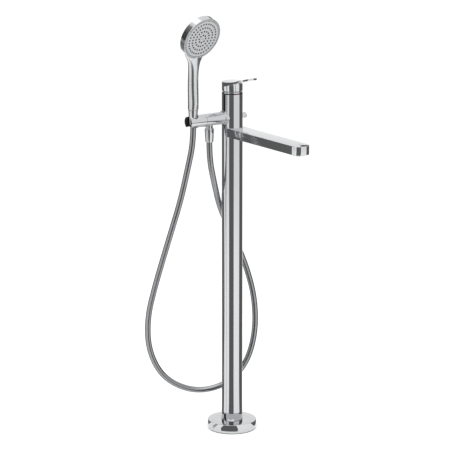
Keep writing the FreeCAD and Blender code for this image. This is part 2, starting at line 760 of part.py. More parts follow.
def make_guide():
    """The turning guide of the cartridge, a fork for the stem, and its tilt pin."""
    body = new_body("cartridge_guide")
    outside = "Sizes.cartridge_bore - 4 * Sizes.running_gap"
    turned(
        body,
        "fork",
        [
            ("0", "Sizes.guide_bottom + Sizes.running_gap"),
            (f"({outside}) / 2", "Sizes.guide_bottom + Sizes.running_gap"),
            (f"({outside}) / 2", "Sizes.guide_top"),
            ("0", "Sizes.guide_top"),
        ],
    )
    slot = sketch_on(body, "XZ_Plane", "slot_outline")
    half = "Sizes.stem_width / 2 + Sizes.loose_gap"
    below = "(Sizes.pivot_height - Sizes.stem_bottom)"
    swing = f"sqrt({below} ^ 2 + (Sizes.stem_width / 2) ^ 2)"
    low = f"Sizes.pivot_height - {swing} - Sizes.loose_gap"
    add_outline(
        slot,
        [
            (f"-({half})", low),
            (half, low),
            (half, "Sizes.guide_top + 1"),
            (f"-({half})", "Sizes.guide_top + 1"),
        ],
    )
    pocketed(body, "slot", slot, "2 * Sizes.cartridge_bore", midplane=True)
    hole = sketch_on(body, "YZ_Plane", "pin_circle")
    add_circle(hole, "Sizes.pin_dia", "0", "Sizes.pivot_height")
    pocketed(body, "pin_hole", hole, "2 * Sizes.cartridge_bore", midplane=True)

    pin = new_body("tilt_pin")
    circle = sketch_on(pin, "YZ_Plane", "pin_circle")
    add_circle(circle, "Sizes.pin_dia", "0", "Sizes.pivot_height")
    padded(pin, "pin", circle, "Sizes.cartridge_bore - 2", midplane=True)


def make_stem():
    body = new_body("lever_stem")
    half = "Sizes.stem_width / 2"
    outline = sketch_on(body, "XY_Plane", "square", "Sizes.stem_bottom")
    add_outline(
        outline,
        [(f"-{half}", f"-{half}"), (half, f"-{half}"), (half, half), (f"-{half}", half)],
    )
    padded(body, "bar", outline, "Sizes.stem_top - Sizes.stem_bottom")
    hole = sketch_on(body, "YZ_Plane", "pin_circle")
    add_circle(hole, "Sizes.pin_dia + 2 * Sizes.running_gap", "0", "Sizes.pivot_height")
    pocketed(body, "pin_hole", hole, "2 * Sizes.stem_width", midplane=True)
    return body


def make_rings():
    """The black index ring with its two marks, and the bright ring with its neck."""
    index_top = "Sizes.column_top + Sizes.index_height"
    trim_top = f"{index_top} + Sizes.trim_height"
    index = new_body("index_ring")
    turned(
        index,
        "ring",
        ring_corners(
            "Sizes.ring_bore", "Sizes.column_dia - 2 * Sizes.mark_depth", "Sizes.column_top", index_top
        ),
    )
    trim = new_body("trim_ring")
    turned(
        trim,
        "ring",
        [
            ("Sizes.ring_bore / 2", index_top),
            ("Sizes.column_dia / 2", index_top),
            ("Sizes.column_dia / 2", trim_top),
            ("Sizes.neck_dia / 2", trim_top),
            ("Sizes.neck_dia / 2", f"{trim_top} + Sizes.neck_height"),
            ("Sizes.ring_bore / 2", f"{trim_top} + Sizes.neck_height"),
        ],
    )
    for name, start in (("hot_mark", FRONT - size("mark_angle")), ("cold_mark", FRONT)):
        mark = new_body(name)
        turned(
            mark,
            "arc",
            ring_corners(
                "Sizes.column_dia - 2 * Sizes.mark_depth", "Sizes.column_dia", "Sizes.column_top", index_top
            ),
            angle=size("mark_angle"),
        )
        mark.Placement = Placement(Vector(), Rotation(Vector(0, 0, 1), start))


# ---------------------------------------------------------------- lever


def make_lever():
    """The cap and blade in one piece: a teardrop plate, scooped out from above."""
    body = new_body("lever")
    lean = "asin((Sizes.column_dia / 2 - Sizes.lever_tip_width / 2) / Sizes.lever_reach)"
    side = f"Sizes.column_dia / 2 * cos({lean})"
    touch = f"-Sizes.column_dia / 2 * sin({lean})"
    tip = "Sizes.lever_tip_width / 2"
    bend = "-Sizes.column_dia / 2"
    plan = sketch_on(body, "XY_Plane", "teardrop", "Sizes.lever_bottom")
    add_outline(
        plan,
        [
            (f"-{side}", touch, bend),
            (f"-{tip}", "-Sizes.lever_reach"),
            (tip, "-Sizes.lever_reach"),
            (side, touch),
            ("0", "Sizes.column_dia / 2", bend),
        ],
    )
    padded(body, "plate", plan, "Sizes.lever_blank_top - Sizes.lever_bottom")
    reach = size("lever_reach")
    round_edges(
        body,
        "tip_corners",
        "Sizes.lever_tip_round",
        lambda edge: edge.BoundBox.YMax < 1e-3 - reach and edge.BoundBox.ZLength > 1,
    )

    under = sketch_on(body, "YZ_Plane", "underside")
    chord = "(Sizes.lever_reach + Sizes.column_dia / 2)"
    slope = "(Sizes.lever_tip_under - Sizes.lever_root_under) / Sizes.lever_reach"
    back = f"Sizes.lever_root_under - {slope} * Sizes.column_dia / 2 - 1"
    front_reach = "-Sizes.lever_reach - 1"
    front = f"Sizes.lever_tip_under + {slope}"
    sag = "Sizes.lever_under_sag"
    curve = f"{chord} ^ 2 / 8 / {sag} + {sag} / 2"
    add_outline(
        under,
        [
            (front_reach, "Sizes.lever_bottom - 1"),
            ("Sizes.column_dia / 2 + 1", "Sizes.lever_bottom - 1"),
            ("Sizes.column_dia / 2 + 1", back),
            (front_reach, front, curve),
        ],
    )
    pocketed(body, "under_cut", under, "2 * Sizes.column_dia", midplane=True)

    cap = sketch_on(body, "XY_Plane", "cap_circle", "Sizes.lever_bottom")
    add_circle(cap, "Sizes.column_dia")
    padded(body, "cap", cap, "Sizes.lever_blank_top - Sizes.lever_bottom")

    inside = sketch_on(body, "XY_Plane", "inside_circle", "Sizes.lever_bottom")
    add_circle(inside, "Sizes.column_dia - 2 * Sizes.lever_wall")
    pocketed(body, "inside", inside, "Sizes.lever_roof - Sizes.lever_bottom", backward=True)

    scoop = sketch_on(body, "XZ_Plane", "scoop_circle", "-1 * Sizes.scoop_low_back")
    centre = "Sizes.scoop_low + Sizes.scoop_width_radius"
    add_circle(scoop, "2 * Sizes.scoop_width_radius", "0", centre)
    axis = sketch_on(body, "XZ_Plane", "scoop_axis", "-1 * Sizes.scoop_low_back")
    height = worth("Sizes.scoop_low + Sizes.scoop_length_radius")
    line = axis.addGeometry(
        Part.LineSegment(Vector(-10, height, 0), Vector(10, height, 0)), False
    )
    pin_point(axis, line, 1, "-10", "Sizes.scoop_low + Sizes.scoop_length_radius")
    pin_point(axis, line, 2, "10", "Sizes.scoop_low + Sizes.scoop_length_radius")
    groove = body.newObject("PartDesign::Groove", "scoop")
    groove.Profile = scoop
    groove.ReferenceAxis = (axis, ["Edge1"])
    groove.Angle = 360
    doc.recompute()

    hub = sketch_on(body, "XY_Plane", "hub_circle", "Sizes.lever_bottom + Sizes.hub_lift")
    add_circle(hub, "Sizes.hub_dia")
    padded(body, "hub", hub, "Sizes.lever_roof - Sizes.lever_bottom")
    socket = sketch_on(body, "XY_Plane", "stem_square", "Sizes.lever_bottom")
    half = "(Sizes.stem_width / 2 + Sizes.running_gap)"
    add_outline(
        socket,
        [(f"-{half}", f"-{half}"), (half, f"-{half}"), (half, half), (f"-{half}", half)],
    )
    depth = "Sizes.stem_top - Sizes.lever_bottom + Sizes.running_gap"
    pocketed(body, "stem_socket", socket, depth, backward=True)

    thread = sketch_on(body, "XZ_Plane", "grub_circle")
    add_circle(thread, "Sizes.grub_dia + 2 * Sizes.running_gap", "0", "Sizes.grub_height")
    pocketed(body, "grub_hole", thread, "Sizes.column_dia", backward=True)
    mouth = sketch_on(body, "XZ_Plane", "plug_circle", "Sizes.column_dia / 2 - Sizes.plug_depth")
    add_circle(mouth, "Sizes.plug_dia + 2 * Sizes.running_gap", "0", "Sizes.grub_height")
    pocketed(body, "plug_seat", mouth, "Sizes.column_dia", backward=True)


def make_lever_screw():
    """The grub screw against the stem, and the plug that closes its hole."""
    screw = new_body("lever_grub_screw")
    start = "Sizes.stem_width / 2"
    shank = sketch_on(screw, "XZ_Plane", "shank_circle", start)
    add_circle(shank, "Sizes.grub_dia", "0", "Sizes.grub_height")
    padded(screw, "shank", shank, "Sizes.grub_length")
    key = sketch_on(screw, "XZ_Plane", "key_outline", f"{start} + Sizes.grub_length")
    add_outline(key, polygon_corners(6, "Sizes.grub_dia / 2", "0", "Sizes.grub_height"))
    pocketed(screw, "key", key, "Sizes.grub_dia / 2")

    plug = new_body("lever_plug")
    disc = sketch_on(plug, "XZ_Plane", "disc_circle", "Sizes.column_dia / 2 - Sizes.plug_depth")
    add_circle(disc, "Sizes.plug_dia", "0", "Sizes.grub_height")
    padded(plug, "disc", disc, "Sizes.plug_depth")


# ---------------------------------------------------------------- spout


def make_spout():
    body = new_body("spout")
    half = "Sizes.spout_width / 2"
    straight = "-Sizes.spout_reach + Sizes.spout_width / 2"
    plan = sketch_on(body, "XY_Plane", "plan", "Sizes.spout_top - Sizes.spout_height")
    add_outline(
        plan,
        [
            (f"-{half}", "0"),
            (f"-{half}", straight),
            ("0", "-Sizes.spout_reach", f"-{half}"),
            (half, straight, f"-{half}"),
            (half, "0"),
        ],
    )
    padded(body, "bar", plan, "Sizes.spout_height")
    middle = worth("Sizes.spout_top - Sizes.spout_height / 2")
    root = worth("Sizes.column_dia / 2")
    round_edges(
        body,
        "long_edges",
        "Sizes.spout_round",
        lambda edge: edge.BoundBox.ZLength < 1e-3
        and abs(edge.BoundBox.ZMin - middle) > 1
        and edge.BoundBox.YMin < -root,
    )
    seat = sketch_on(body, "XY_Plane", "column_circle")
    add_circle(seat, "Sizes.column_dia")
    pocketed(body, "root", seat, "2 * Sizes.spout_top", backward=True)

    channel = sketch_on(body, "XZ_Plane", "channel_outline", "Sizes.channel_start")
    side = "(Sizes.spout_width / 2 - Sizes.spout_wall)"
    low = "Sizes.spout_top - Sizes.spout_height + Sizes.spout_wall"
    high = "Sizes.spout_top - Sizes.spout_wall"
    add_outline(channel, [(f"-{side}", low), (side, low), (side, high), (f"-{side}", high)])
    length = "Sizes.aerator_reach - Sizes.channel_start"
    pocketed(body, "channel", channel, length, backward=True)
    cross_bore(
        body,
        "nipple_bore",
        "-Y",
        "Sizes.nipple_dia + 2 * Sizes.running_gap",
        NIPPLE_HEIGHT,
        outer="Sizes.nipple_outer",
    )
    hole = sketch_on(body, "XY_Plane", "aerator_circle", "Sizes.spout_top - Sizes.spout_height")
    add_circle(hole, "Sizes.aerator_socket", "0", "-Sizes.aerator_reach")
    pocketed(body, "aerator_hole", hole, "Sizes.spout_height / 2", backward=True)


def make_spout_nipple():
    body = new_body("spout_nipple")
    turned(
        body,
        "pipe",
        ring_corners(
            "Sizes.nipple_dia - 2 * Sizes.nipple_wall",
            "Sizes.nipple_dia",
            "Sizes.nipple_inner",
            "Sizes.nipple_outer",
        ),
    )
    set_along(body, "-Y", NIPPLE_HEIGHT)


def make_aerator():
    """The ring that screws into the spout, and the insert with its ribs."""
    face = "Sizes.spout_top - Sizes.spout_height"
    ring = new_body("aerator_ring")
    turned(
        ring,
        "ring",
        [
            ("Sizes.aerator_bore / 2", f"{face} - Sizes.aerator_drop"),
            ("Sizes.aerator_dia / 2", f"{face} - Sizes.aerator_drop"),
            ("Sizes.aerator_dia / 2", face),
            ("Sizes.aerator_socket / 2", face),
            ("Sizes.aerator_socket / 2", f"{face} + Sizes.spout_wall"),
            ("Sizes.aerator_bore / 2", f"{face} + Sizes.spout_wall"),
        ],
    )
    key = sketch_on(ring, "XY_Plane", "key_outline", f"{face} - Sizes.aerator_drop")
    side = "Sizes.key_notch_width / 2"
    add_outline(
        key,
        [
            ("Sizes.aerator_bore / 2 + 1", f"-{side}"),
            ("Sizes.aerator_dia", f"-{side}"),
            ("Sizes.aerator_dia", side),
            ("Sizes.aerator_bore / 2 + 1", side),
        ],
    )
    groove = pocketed(ring, "key_notch", key, "Sizes.key_notch_depth", backward=True)
    repeated(ring, "key_notches", groove, "Sizes.key_notch_count")
    insert = new_body("aerator_insert")
    turned(
        insert,
        "cup",
        [
            ("0", f"{face} - Sizes.aerator_drop / 2"),
            ("Sizes.aerator_bore / 2", f"{face} - Sizes.aerator_drop / 2"),
            ("Sizes.aerator_bore / 2", f"{face} + Sizes.spout_wall"),
            ("0", f"{face} + Sizes.spout_wall"),
        ],
    )
    notch = sketch_on(insert, "XY_Plane", "notch_outline", f"{face} - Sizes.aerator_drop / 2")
    half = "Sizes.jet_slot_width / 2"
    add_outline(
        notch,
        [
            ("Sizes.jet_slot_inner", f"-{half}"),
            ("Sizes.jet_slot_outer", f"-{half}"),
            ("Sizes.jet_slot_outer", half),
            ("Sizes.jet_slot_inner", half),
        ],
    )
    slot = pocketed(insert, "slot", notch, "Sizes.spout_wall", backward=True)
    repeated(insert, "slots", slot, "Sizes.jet_slot_count")
    for body in (ring, insert):
        body.setExpression("Placement.Base.y", "-Sizes.aerator_reach")


# ---------------------------------------------------------------- arm and outlet


def make_arm():
    """The fixed arm: collar, tail in the valve, spigot for the holder, and outlet neck."""
    body = new_body("arm")
    turned(
        body,
        "bar",
        [
            ("0", "Sizes.arm_tail_inner"),
            ("Sizes.arm_collar_dia / 2", "Sizes.arm_tail_inner"),
            ("Sizes.arm_collar_dia / 2", "Sizes.arm_collar_end"),
            ("Sizes.arm_dia / 2", "Sizes.arm_collar_end"),
            ("Sizes.arm_dia / 2", "Sizes.arm_end"),
            ("Sizes.swivel_dia / 2", "Sizes.arm_end"),
            ("Sizes.swivel_dia / 2", "Sizes.swivel_end"),
            ("0", "Sizes.swivel_end"),
        ],
    )
    column = sketch_on(body, "YZ_Plane", "column_circle")
    add_circle(column, "Sizes.column_dia")
    pocketed(body, "column_seat", column, "4 * Sizes.arm_dia", midplane=True)
    tail = sketch_on(body, "XY_Plane", "tail_circle", "Sizes.arm_tail_inner")
    add_circle(tail, "Sizes.arm_tail_dia")
    padded(body, "tail", tail, "Sizes.arm_collar_end - Sizes.arm_tail_inner")
    waterway = sketch_on(body, "XY_Plane", "waterway_circle", "Sizes.arm_tail_inner")
    add_circle(waterway, "Sizes.arm_bore")
    run = "Sizes.outlet_reach - Sizes.arm_tail_inner + Sizes.outlet_bore / 2"
    pocketed(body, "waterway", waterway, run, backward=True)
    neck = sketch_on(body, "YZ_Plane", "neck_circle")
    add_circle(neck, "Sizes.outlet_neck_dia", "0", "Sizes.outlet_reach")
    padded(body, "neck", neck, "Sizes.arm_height - Sizes.outlet_shoulder", backward=True)
    thread = sketch_on(body, "YZ_Plane", "thread_circle", "Sizes.outlet_shoulder - Sizes.arm_height")
    add_circle(thread, "Sizes.outlet_thread_dia", "0", "Sizes.outlet_reach")
    padded(body, "thread", thread, "Sizes.outlet_shoulder - Sizes.outlet_bottom", backward=True)
    bore = sketch_on(body, "YZ_Plane", "outlet_circle")
    add_circle(bore, "Sizes.outlet_bore", "0", "Sizes.outlet_reach")
    pocketed(body, "outlet", bore, "2 * Sizes.arm_dia")
    tapped = sketch_on(body, "XY_Plane", "screw_circle", "Sizes.swivel_end")
    add_circle(tapped, "Sizes.swivel_screw_dia + 2 * Sizes.running_gap")
    pocketed(body, "screw_hole", tapped, "Sizes.screw_depth + 1")
    set_along(body, "-X", "Sizes.arm_height")


def make_check_valve():
    """The plastic non-return valve that sits in the hose outlet."""
    body = new_body("check_valve")
    outside = "Sizes.outlet_bore - 2 * Sizes.running_gap"
    turned(
        body,
        "housing",
        ring_corners("Sizes.outlet_bore / 2", outside, "Sizes.outlet_bottom", "Sizes.outlet_shoulder"),
    )
    body.setExpression("Placement.Base.x", "-Sizes.outlet_reach")


def make_hose_nut(name, low, high, seat):
    """A conical hose nut: solid towards the hose, threaded from above down to its seat."""
    body = new_body(name)
    inside = "Sizes.outlet_thread_dia / 2 + Sizes.running_gap"
    turned(
        body,
        "cone",
        [
            ("Sizes.washer_bore / 2", low),
            ("Sizes.cone_small_dia / 2 - Sizes.cone_edge", low),
            ("Sizes.cone_small_dia / 2", f"{low} + Sizes.cone_edge"),
            ("Sizes.cone_large_dia / 2", f"{high} - Sizes.cone_edge"),
            ("Sizes.cone_large_dia / 2 - Sizes.cone_edge", high),
            (inside, high),
            (inside, seat),
            ("Sizes.washer_bore / 2", seat),
        ],
    )
    return body


def make_washer(name, low):
    body = new_body(name)
    turned(
        body,
        "ring",
        ring_corners(
            "Sizes.washer_bore", "Sizes.outlet_thread_dia", low, f"{low} + Sizes.washer_thick"
        ),
    )
    return body


def make_outlet_joint():
    seat = "Sizes.outlet_bottom - Sizes.washer_thick"
    nut = make_hose_nut("outlet_nut", "Sizes.outlet_nut_bottom", "Sizes.outlet_nut_top", seat)
    washer = make_washer("outlet_washer", seat)
    for body in (nut, washer):
        body.setExpression("Placement.Base.x", "-Sizes.outlet_reach")


# ---------------------------------------------------------------- holder


def primitive(kind, name, **formulas):
    """A Part primitive whose properties are bound to formulas."""
    shape = doc.addObject(f"Part::{kind}", name)
    for key, formula in formulas.items():
        shape.setExpression(key.replace("_", "."), formula)
    return shape


def joined(kind, name, first, second):
    """One boolean of two objects."""
    result = doc.addObject(f"Part::{kind}", name)
    if kind == "Cut":
        result.Base = first
        result.Tool = second
    else:
        result.Shapes = [first, second]
    return result


def holder_slot_box(name):
    """The way that the hose leaves by: from the seat's axis out past the sleeve's end."""
    return primitive(
        "Box",
        name,
        Length="Sizes.holder_end - Sizes.seat_reach + 1",
        Width="Sizes.holder_slot",
        Height="2 * Sizes.arm_dia",
        Placement_Base_x="-Sizes.holder_end - 1",
        Placement_Base_y="-Sizes.holder_slot / 2",
        Placement_Base_z="Sizes.arm_height - Sizes.arm_dia",
    )


def lying_cylinder(name, radius, start, end):
    """A cylinder along the arm's axis between two distances from the column."""
    cylinder = primitive(
        "Cylinder",
        name,
        Radius=radius,
        Height=f"{end} - ({start})",
        Placement_Base_x=f"-({start})",
        Placement_Base_z="Sizes.arm_height",
    )
    cylinder.Placement.Rotation = Rotation(Vector(0, 1, 0), -90)
    return cylinder


def standing_cylinder(name, radius, low, height):
    """An upright cylinder on the seat's axis."""
    return primitive(
        "Cylinder",
        name,
        Radius=radius,
        Height=height,
        Placement_Base_x="-Sizes.seat_reach",
        Placement_Base_z=low,
    )


def make_holder_sleeve():
    outer = "Sizes.arm_dia / 2"
    tube = lying_cylinder("sleeve_stock", outer, "Sizes.holder_start", "Sizes.holder_end")
    inner = f"{outer} - Sizes.holder_wall"
    hollow = lying_cylinder("sleeve_hollow", inner, "Sizes.holder_floor", "Sizes.holder_end + 1")
    bore = lying_cylinder(
        "swivel_bore",
        "Sizes.swivel_dia / 2 + Sizes.running_gap",
        "Sizes.holder_start - 1",
        "Sizes.holder_floor + 1",
    )
    mouth = standing_cylinder(
        "seat_mouth",
        "Sizes.rim_dia / 2",
        "Sizes.arm_height - Sizes.arm_dia",
        "2 * Sizes.arm_dia",
    )
    shell = joined("Cut", "sleeve_hollowed", tube, hollow)
    bored = joined("Cut", "sleeve_bored", shell, bore)
    open_above = joined("Cut", "sleeve_open", bored, mouth)
    sleeve = joined("Cut", "holder_sleeve", open_above, holder_slot_box("sleeve_slot"))
    sleeve.Label = "holder_sleeve"
    nodes.append(sleeve)


def make_holder_insert():
    """The black liner: it fills the sleeve and rises round the nut as a thin rim."""
    inner = "Sizes.arm_dia / 2 - Sizes.holder_wall"
    core = lying_cylinder("liner_core", inner, "Sizes.insert_start", "Sizes.holder_end - Sizes.loose_gap")
    rim = standing_cylinder(
        "liner_rim",
        "Sizes.rim_dia / 2",
        "Sizes.arm_height - Sizes.arm_dia",
        "2 * Sizes.arm_dia",
    )
    envelope = lying_cylinder(
        "liner_envelope",
        "Sizes.arm_dia / 2 - Sizes.loose_gap",
        "Sizes.insert_start",
        "Sizes.holder_end - Sizes.loose_gap",
    )
    collar = joined("MultiCommon", "liner_collar", rim, envelope)
    stock = joined("MultiFuse", "liner_stock", core, collar)
    slope = "(Sizes.cone_large_dia - Sizes.cone_small_dia) / 2"
    slope += " / (Sizes.handset_nut_top - Sizes.handset_nut_bottom)"
    height = "Sizes.arm_dia"
    cone = primitive(
        "Cone",
        "liner_seat",
        Radius1="Sizes.cone_small_dia / 2 + Sizes.loose_gap",
        Radius2=f"Sizes.cone_small_dia / 2 + Sizes.loose_gap + {height} * {slope}",
        Height=height,
        Placement_Base_x="-Sizes.seat_reach",
        Placement_Base_z="Sizes.handset_nut_bottom - Sizes.loose_gap",
    )
    drop = standing_cylinder(
        "liner_drop", "Sizes.holder_slot / 2", "Sizes.arm_height - Sizes.arm_dia", "Sizes.arm_dia"
    )
    seated = joined("Cut", "liner_seated", stock, cone)
    dropped = joined("Cut", "liner_dropped", seated, drop)
    liner = joined("Cut", "holder_insert", dropped, holder_slot_box("liner_slot"))
    liner.Label = "holder_insert"
    nodes.append(liner)


def make_swivel_screw():
    """The shouldered screw that keeps the holder on the arm's spigot."""
    body = new_body("swivel_screw")
    turned(
        body,
        "screw",
        [
            ("0", "Sizes.swivel_end - Sizes.screw_depth"),
            ("Sizes.swivel_screw_dia / 2", "Sizes.swivel_end - Sizes.screw_depth"),
            ("Sizes.swivel_screw_dia / 2", "Sizes.swivel_end"),
            ("Sizes.swivel_dia / 2 - 1", "Sizes.swivel_end"),
            ("Sizes.swivel_dia / 2 - 1", "Sizes.holder_floor + Sizes.loose_gap"),
            ("Sizes.swivel_dia / 2 + 2", "Sizes.holder_floor + Sizes.loose_gap"),
            ("Sizes.swivel_dia / 2 + 2", "Sizes.insert_start - Sizes.loose_gap"),
            ("0", "Sizes.insert_start - Sizes.loose_gap"),
        ],
    )
    set_along(body, "-X", "Sizes.arm_height")


# ---------------------------------------------------------------- diverter


def wound_coil(length, radius, wire_radius):
    """A coil along +Z, lofted through polygons that stand square to its helix."""
    steps = int(size("spring_steps"))
    sides = int(size("spring_sides"))
    sections = []
    for step in range(int(size("spring_turns")) * steps + 1):
        angle = 2 * math.pi * step / steps
        rise = length / size("spring_turns") / (2 * math.pi)
        radial = Vector(math.cos(angle), math.sin(angle), 0)
        centre = radial * radius + Vector(0, 0, rise * angle)
        along = Vector(-radial.y * radius, radial.x * radius, rise).normalize()
        upward = radial.cross(along)
        corners = []
        for side in range(sides):
            turn = 2 * math.pi * side / sides
            offset = radial * math.cos(turn) + upward * math.sin(turn)
            corners.append(centre + offset * wire_radius)
        sections.append(Part.makePolygon(corners + corners[:1]))
    return Part.makeLoft(sections, True, True)


def make_diverter():
    """Pull knob, spindle and sealing disc, with the bush and spring they work against."""
    bore = "Sizes.spindle_dia + 2 * Sizes.running_gap"
    bush_outer = "Sizes.column_dia / 2 + 2 * Sizes.loose_gap"
    bush = new_body("diverter_bush")
    outside = "Sizes.chamber_dia - 2 * Sizes.running_gap"
    turned(bush, "bush", ring_corners(bore, outside, "Sizes.bush_inner", bush_outer))

    spindle = new_body("diverter_spindle")
    rod = sketch_on(spindle, "XY_Plane", "rod_circle", "Sizes.spindle_inner")
    add_circle(rod, "Sizes.spindle_dia")
    padded(spindle, "rod", rod, "Sizes.knob_socket - Sizes.spindle_inner")

    disc = new_body("diverter_disc")
    low = "Sizes.spindle_inner + 1"
    turned(
        disc,
        "disc",
        ring_corners("Sizes.spindle_dia", "Sizes.diverter_disc", low, f"{low} + Sizes.disc_thick"),
    )

    knob = new_body("diverter_knob")
    turned(
        knob,
        "knob",
        [
            ("0", "Sizes.knob_socket"),
            ("Sizes.spindle_dia / 2", "Sizes.knob_socket"),
            ("Sizes.spindle_dia / 2", "Sizes.knob_start"),
            ("Sizes.knob_dia / 2", "Sizes.knob_start"),
            ("Sizes.knob_dia / 2", "Sizes.knob_end"),
            ("0", "Sizes.knob_end"),
        ],
    )
    round_edges(
        knob, "edge", "Sizes.knob_edge", circle_at("Sizes.knob_end", "Sizes.knob_dia"), "Chamfer"
    )
    for body in (bush, spindle, disc, knob):
        set_along(body, "+X", "Sizes.arm_height")

    start = size("spindle_inner") + 1 + size("disc_thick") + size("spring_wire") / 2
    length = size("bush_inner") - size("spring_wire") / 2 - start
    spring = wound_coil(length, size("spring_dia") / 2, size("spring_wire") / 2)
    spring.Placement = Placement(
        Vector(start, 0, size("arm_height")), Rotation(Vector(0, 1, 0), 90)
    )
    new_solid("diverter_spring", spring)


# ---------------------------------------------------------------- handset


def seat_placement():
    """Where the handset's own frame lies: its axis on the seat, turned about it."""
    return Placement(
        Vector(-size("seat_reach"), 0, 0), Rotation(Vector(0, 0, 1), size("handset_turn"))
    )


def head_placement():
    """Where the head's own frame lies: origin at the face centre, +Z out of its back."""
    tilted = Rotation(Vector(1, 0, 0), size("head_tilt") - 90)
    centre = Vector(0, -size("head_forward"), size("head_height"))
    return seat_placement() * Placement(centre, tilted)


def head_profile_solid():
    """The spray head: a flat front with a recess, a straight rim and a domed back."""
    radius = size("head_dia") / 2
    edge = size("head_edge")
    rim = size("head_rim")
    back = rim + size("head_dome")
    recess = size("face_dia") / 2
    depth = size("face_depth")
    rise = math.sqrt(0.5) * edge
    corners = [
        Vector(0, 0, depth),
        Vector(recess, 0, depth),
        Vector(recess, 0, 0),
        Vector(radius - edge, 0, 0),
    ]
    edges = [
        Part.LineSegment(begin, end).toShape() for begin, end in zip(corners, corners[1:])
    ]
    front_corner = Vector(radius, 0, edge)
    front_middle = Vector(radius - edge + rise, 0, edge - rise)
    edges.append(Part.Arc(corners[-1], front_middle, front_corner).toShape())
    rim_end = Vector(radius, 0, rim)
    edges.append(Part.LineSegment(front_corner, rim_end).toShape())
    dome_middle = Vector(size("shoulder_radius"), 0, rim + size("shoulder_rise"))
    dome_end = Vector(0, 0, back)
    edges.append(Part.Arc(rim_end, dome_middle, dome_end).toShape())
    edges.append(Part.LineSegment(dome_end, corners[0]).toShape())
    face = Part.Face(Part.Wire(edges))
    head = face.revolve(Vector(), Vector(0, 0, 1), 360)
    tilt = Rotation(Vector(1, 0, 0), size("head_tilt") - 90)
    head.Placement = Placement(Vector(0, -size("head_forward"), size("head_height")), tilt)
    return head


def round_section(height):
    """The straight grip's round section."""
    circle = Part.Circle(Vector(0, 0, height), Vector(0, 0, 1), size("handle_dia") / 2)
    return Part.Wire(circle.toShape())


def oval_section(station):
    """An oval across the neck at a named station, leaning forward."""
    oval = Part.Ellipse(Vector(), size(f"{station}_width") / 2, size(f"{station}_depth") / 2)
    wire = Part.Wire(oval.toShape())
    wire.Placement = Placement(
        Vector(0, -size(f"{station}_forward"), size("head_height") - size(f"{station}_drop")),
        Rotation(Vector(1, 0, 0), size(f"{station}_lean")),
    )
    return wire


def make_handset_shell():
    """Handle, neck and head in one chromed shell; the neck opens like a spoon."""
    low = size("handle_bottom")
    forward = size("head_forward")
    top = size("head_height")
    sections = [round_section(low), round_section(size("grip_top"))]
    sections += [oval_section(station) for station, *_ in NECK_STATIONS]
    handle = Part.makeLoft(sections, True, False)
    shell = handle.fuse(head_profile_solid()).removeSplitter()
    recess = Part.makeCylinder(size("face_dia") / 2, size("face_depth"))
    recess.Placement = Placement(
        Vector(0, -forward, top), Rotation(Vector(1, 0, 0), size("head_tilt") - 90)
    )
    socket = Part.makeCylinder(
        size("outlet_thread_dia") / 2 + size("running_gap"), size("tail_depth"), Vector(0, 0, low)
    )
    solid = new_solid("handset_shell", shell.cut(recess).cut(socket))
    solid.Placement = seat_placement()


def make_handset_joint():
    """The brass tail of the handset with its washer and conical nut."""
    seat = "Sizes.tail_bottom - Sizes.washer_thick"
    nut = make_hose_nut("handset_nut", "Sizes.handset_nut_bottom", "Sizes.handset_nut_top", seat)
    washer = make_washer("handset_washer", seat)
    tail = new_body("handset_tail")
    turned(
        tail,
        "tail",
        ring_corners(
            "Sizes.washer_bore",
            "Sizes.outlet_thread_dia",
            "Sizes.tail_bottom",
            "Sizes.handle_bottom + Sizes.tail_depth",
        ),
    )
    for body in (nut, washer, tail):
        body.Placement = seat_placement()


def make_spray_face():
    """Face plate, the ring round it, its nozzles in rings, and the screw in the middle."""
    front = "Sizes.face_setback"
    plate = new_body("spray_plate")
    outside = "Sizes.face_dia - 2 * Sizes.face_ring_width"
    turned(
        plate,
        "plate",
        [
            ("0", front),
            (f"({outside}) / 2", front),
            (f"({outside}) / 2", "Sizes.face_depth"),
            ("0", "Sizes.face_depth"),
        ],
    )
    ring = new_body("face_ring")
    turned(
        ring,
        "ring",
        ring_corners(outside, "Sizes.face_dia", "2 * Sizes.face_setback", "Sizes.face_depth"),
    )
    screw = new_body("face_screw")
    turned(
        screw,
        "head",
        [
            ("0", "-Sizes.face_setback"),
            ("Sizes.face_screw_dia / 2", "-Sizes.face_setback"),
            ("Sizes.face_screw_dia / 2", front),
            ("0", front),
        ],
    )
    nozzles = new_body("spray_nozzles")
    for ring_number in range(1, int(size("nozzle_rings")) + 1):
        outline = sketch_on(nozzles, "XY_Plane", f"nozzle_outline_{ring_number}", front)
        across = f"{ring_number} * Sizes.nozzle_pitch"
        add_outline(outline, polygon_corners(6, "Sizes.nozzle_dia", across))
        nozzle = padded(nozzles, f"nozzle_{ring_number}", outline, "Sizes.nozzle_rise", backward=True)
        nozzle.setExpression("TaperAngle", "-Sizes.nozzle_taper")
        nozzle.Refine = False
        nozzles.AllowCompound = True
        count = f"Sizes.nozzle_step * {ring_number}"
        repeated(nozzles, f"nozzle_ring_{ring_number}", nozzle, count).Refine = False
    for body in (plate, ring, screw, nozzles):
        body.Placement = head_placement()


# ---------------------------------------------------------------- hose


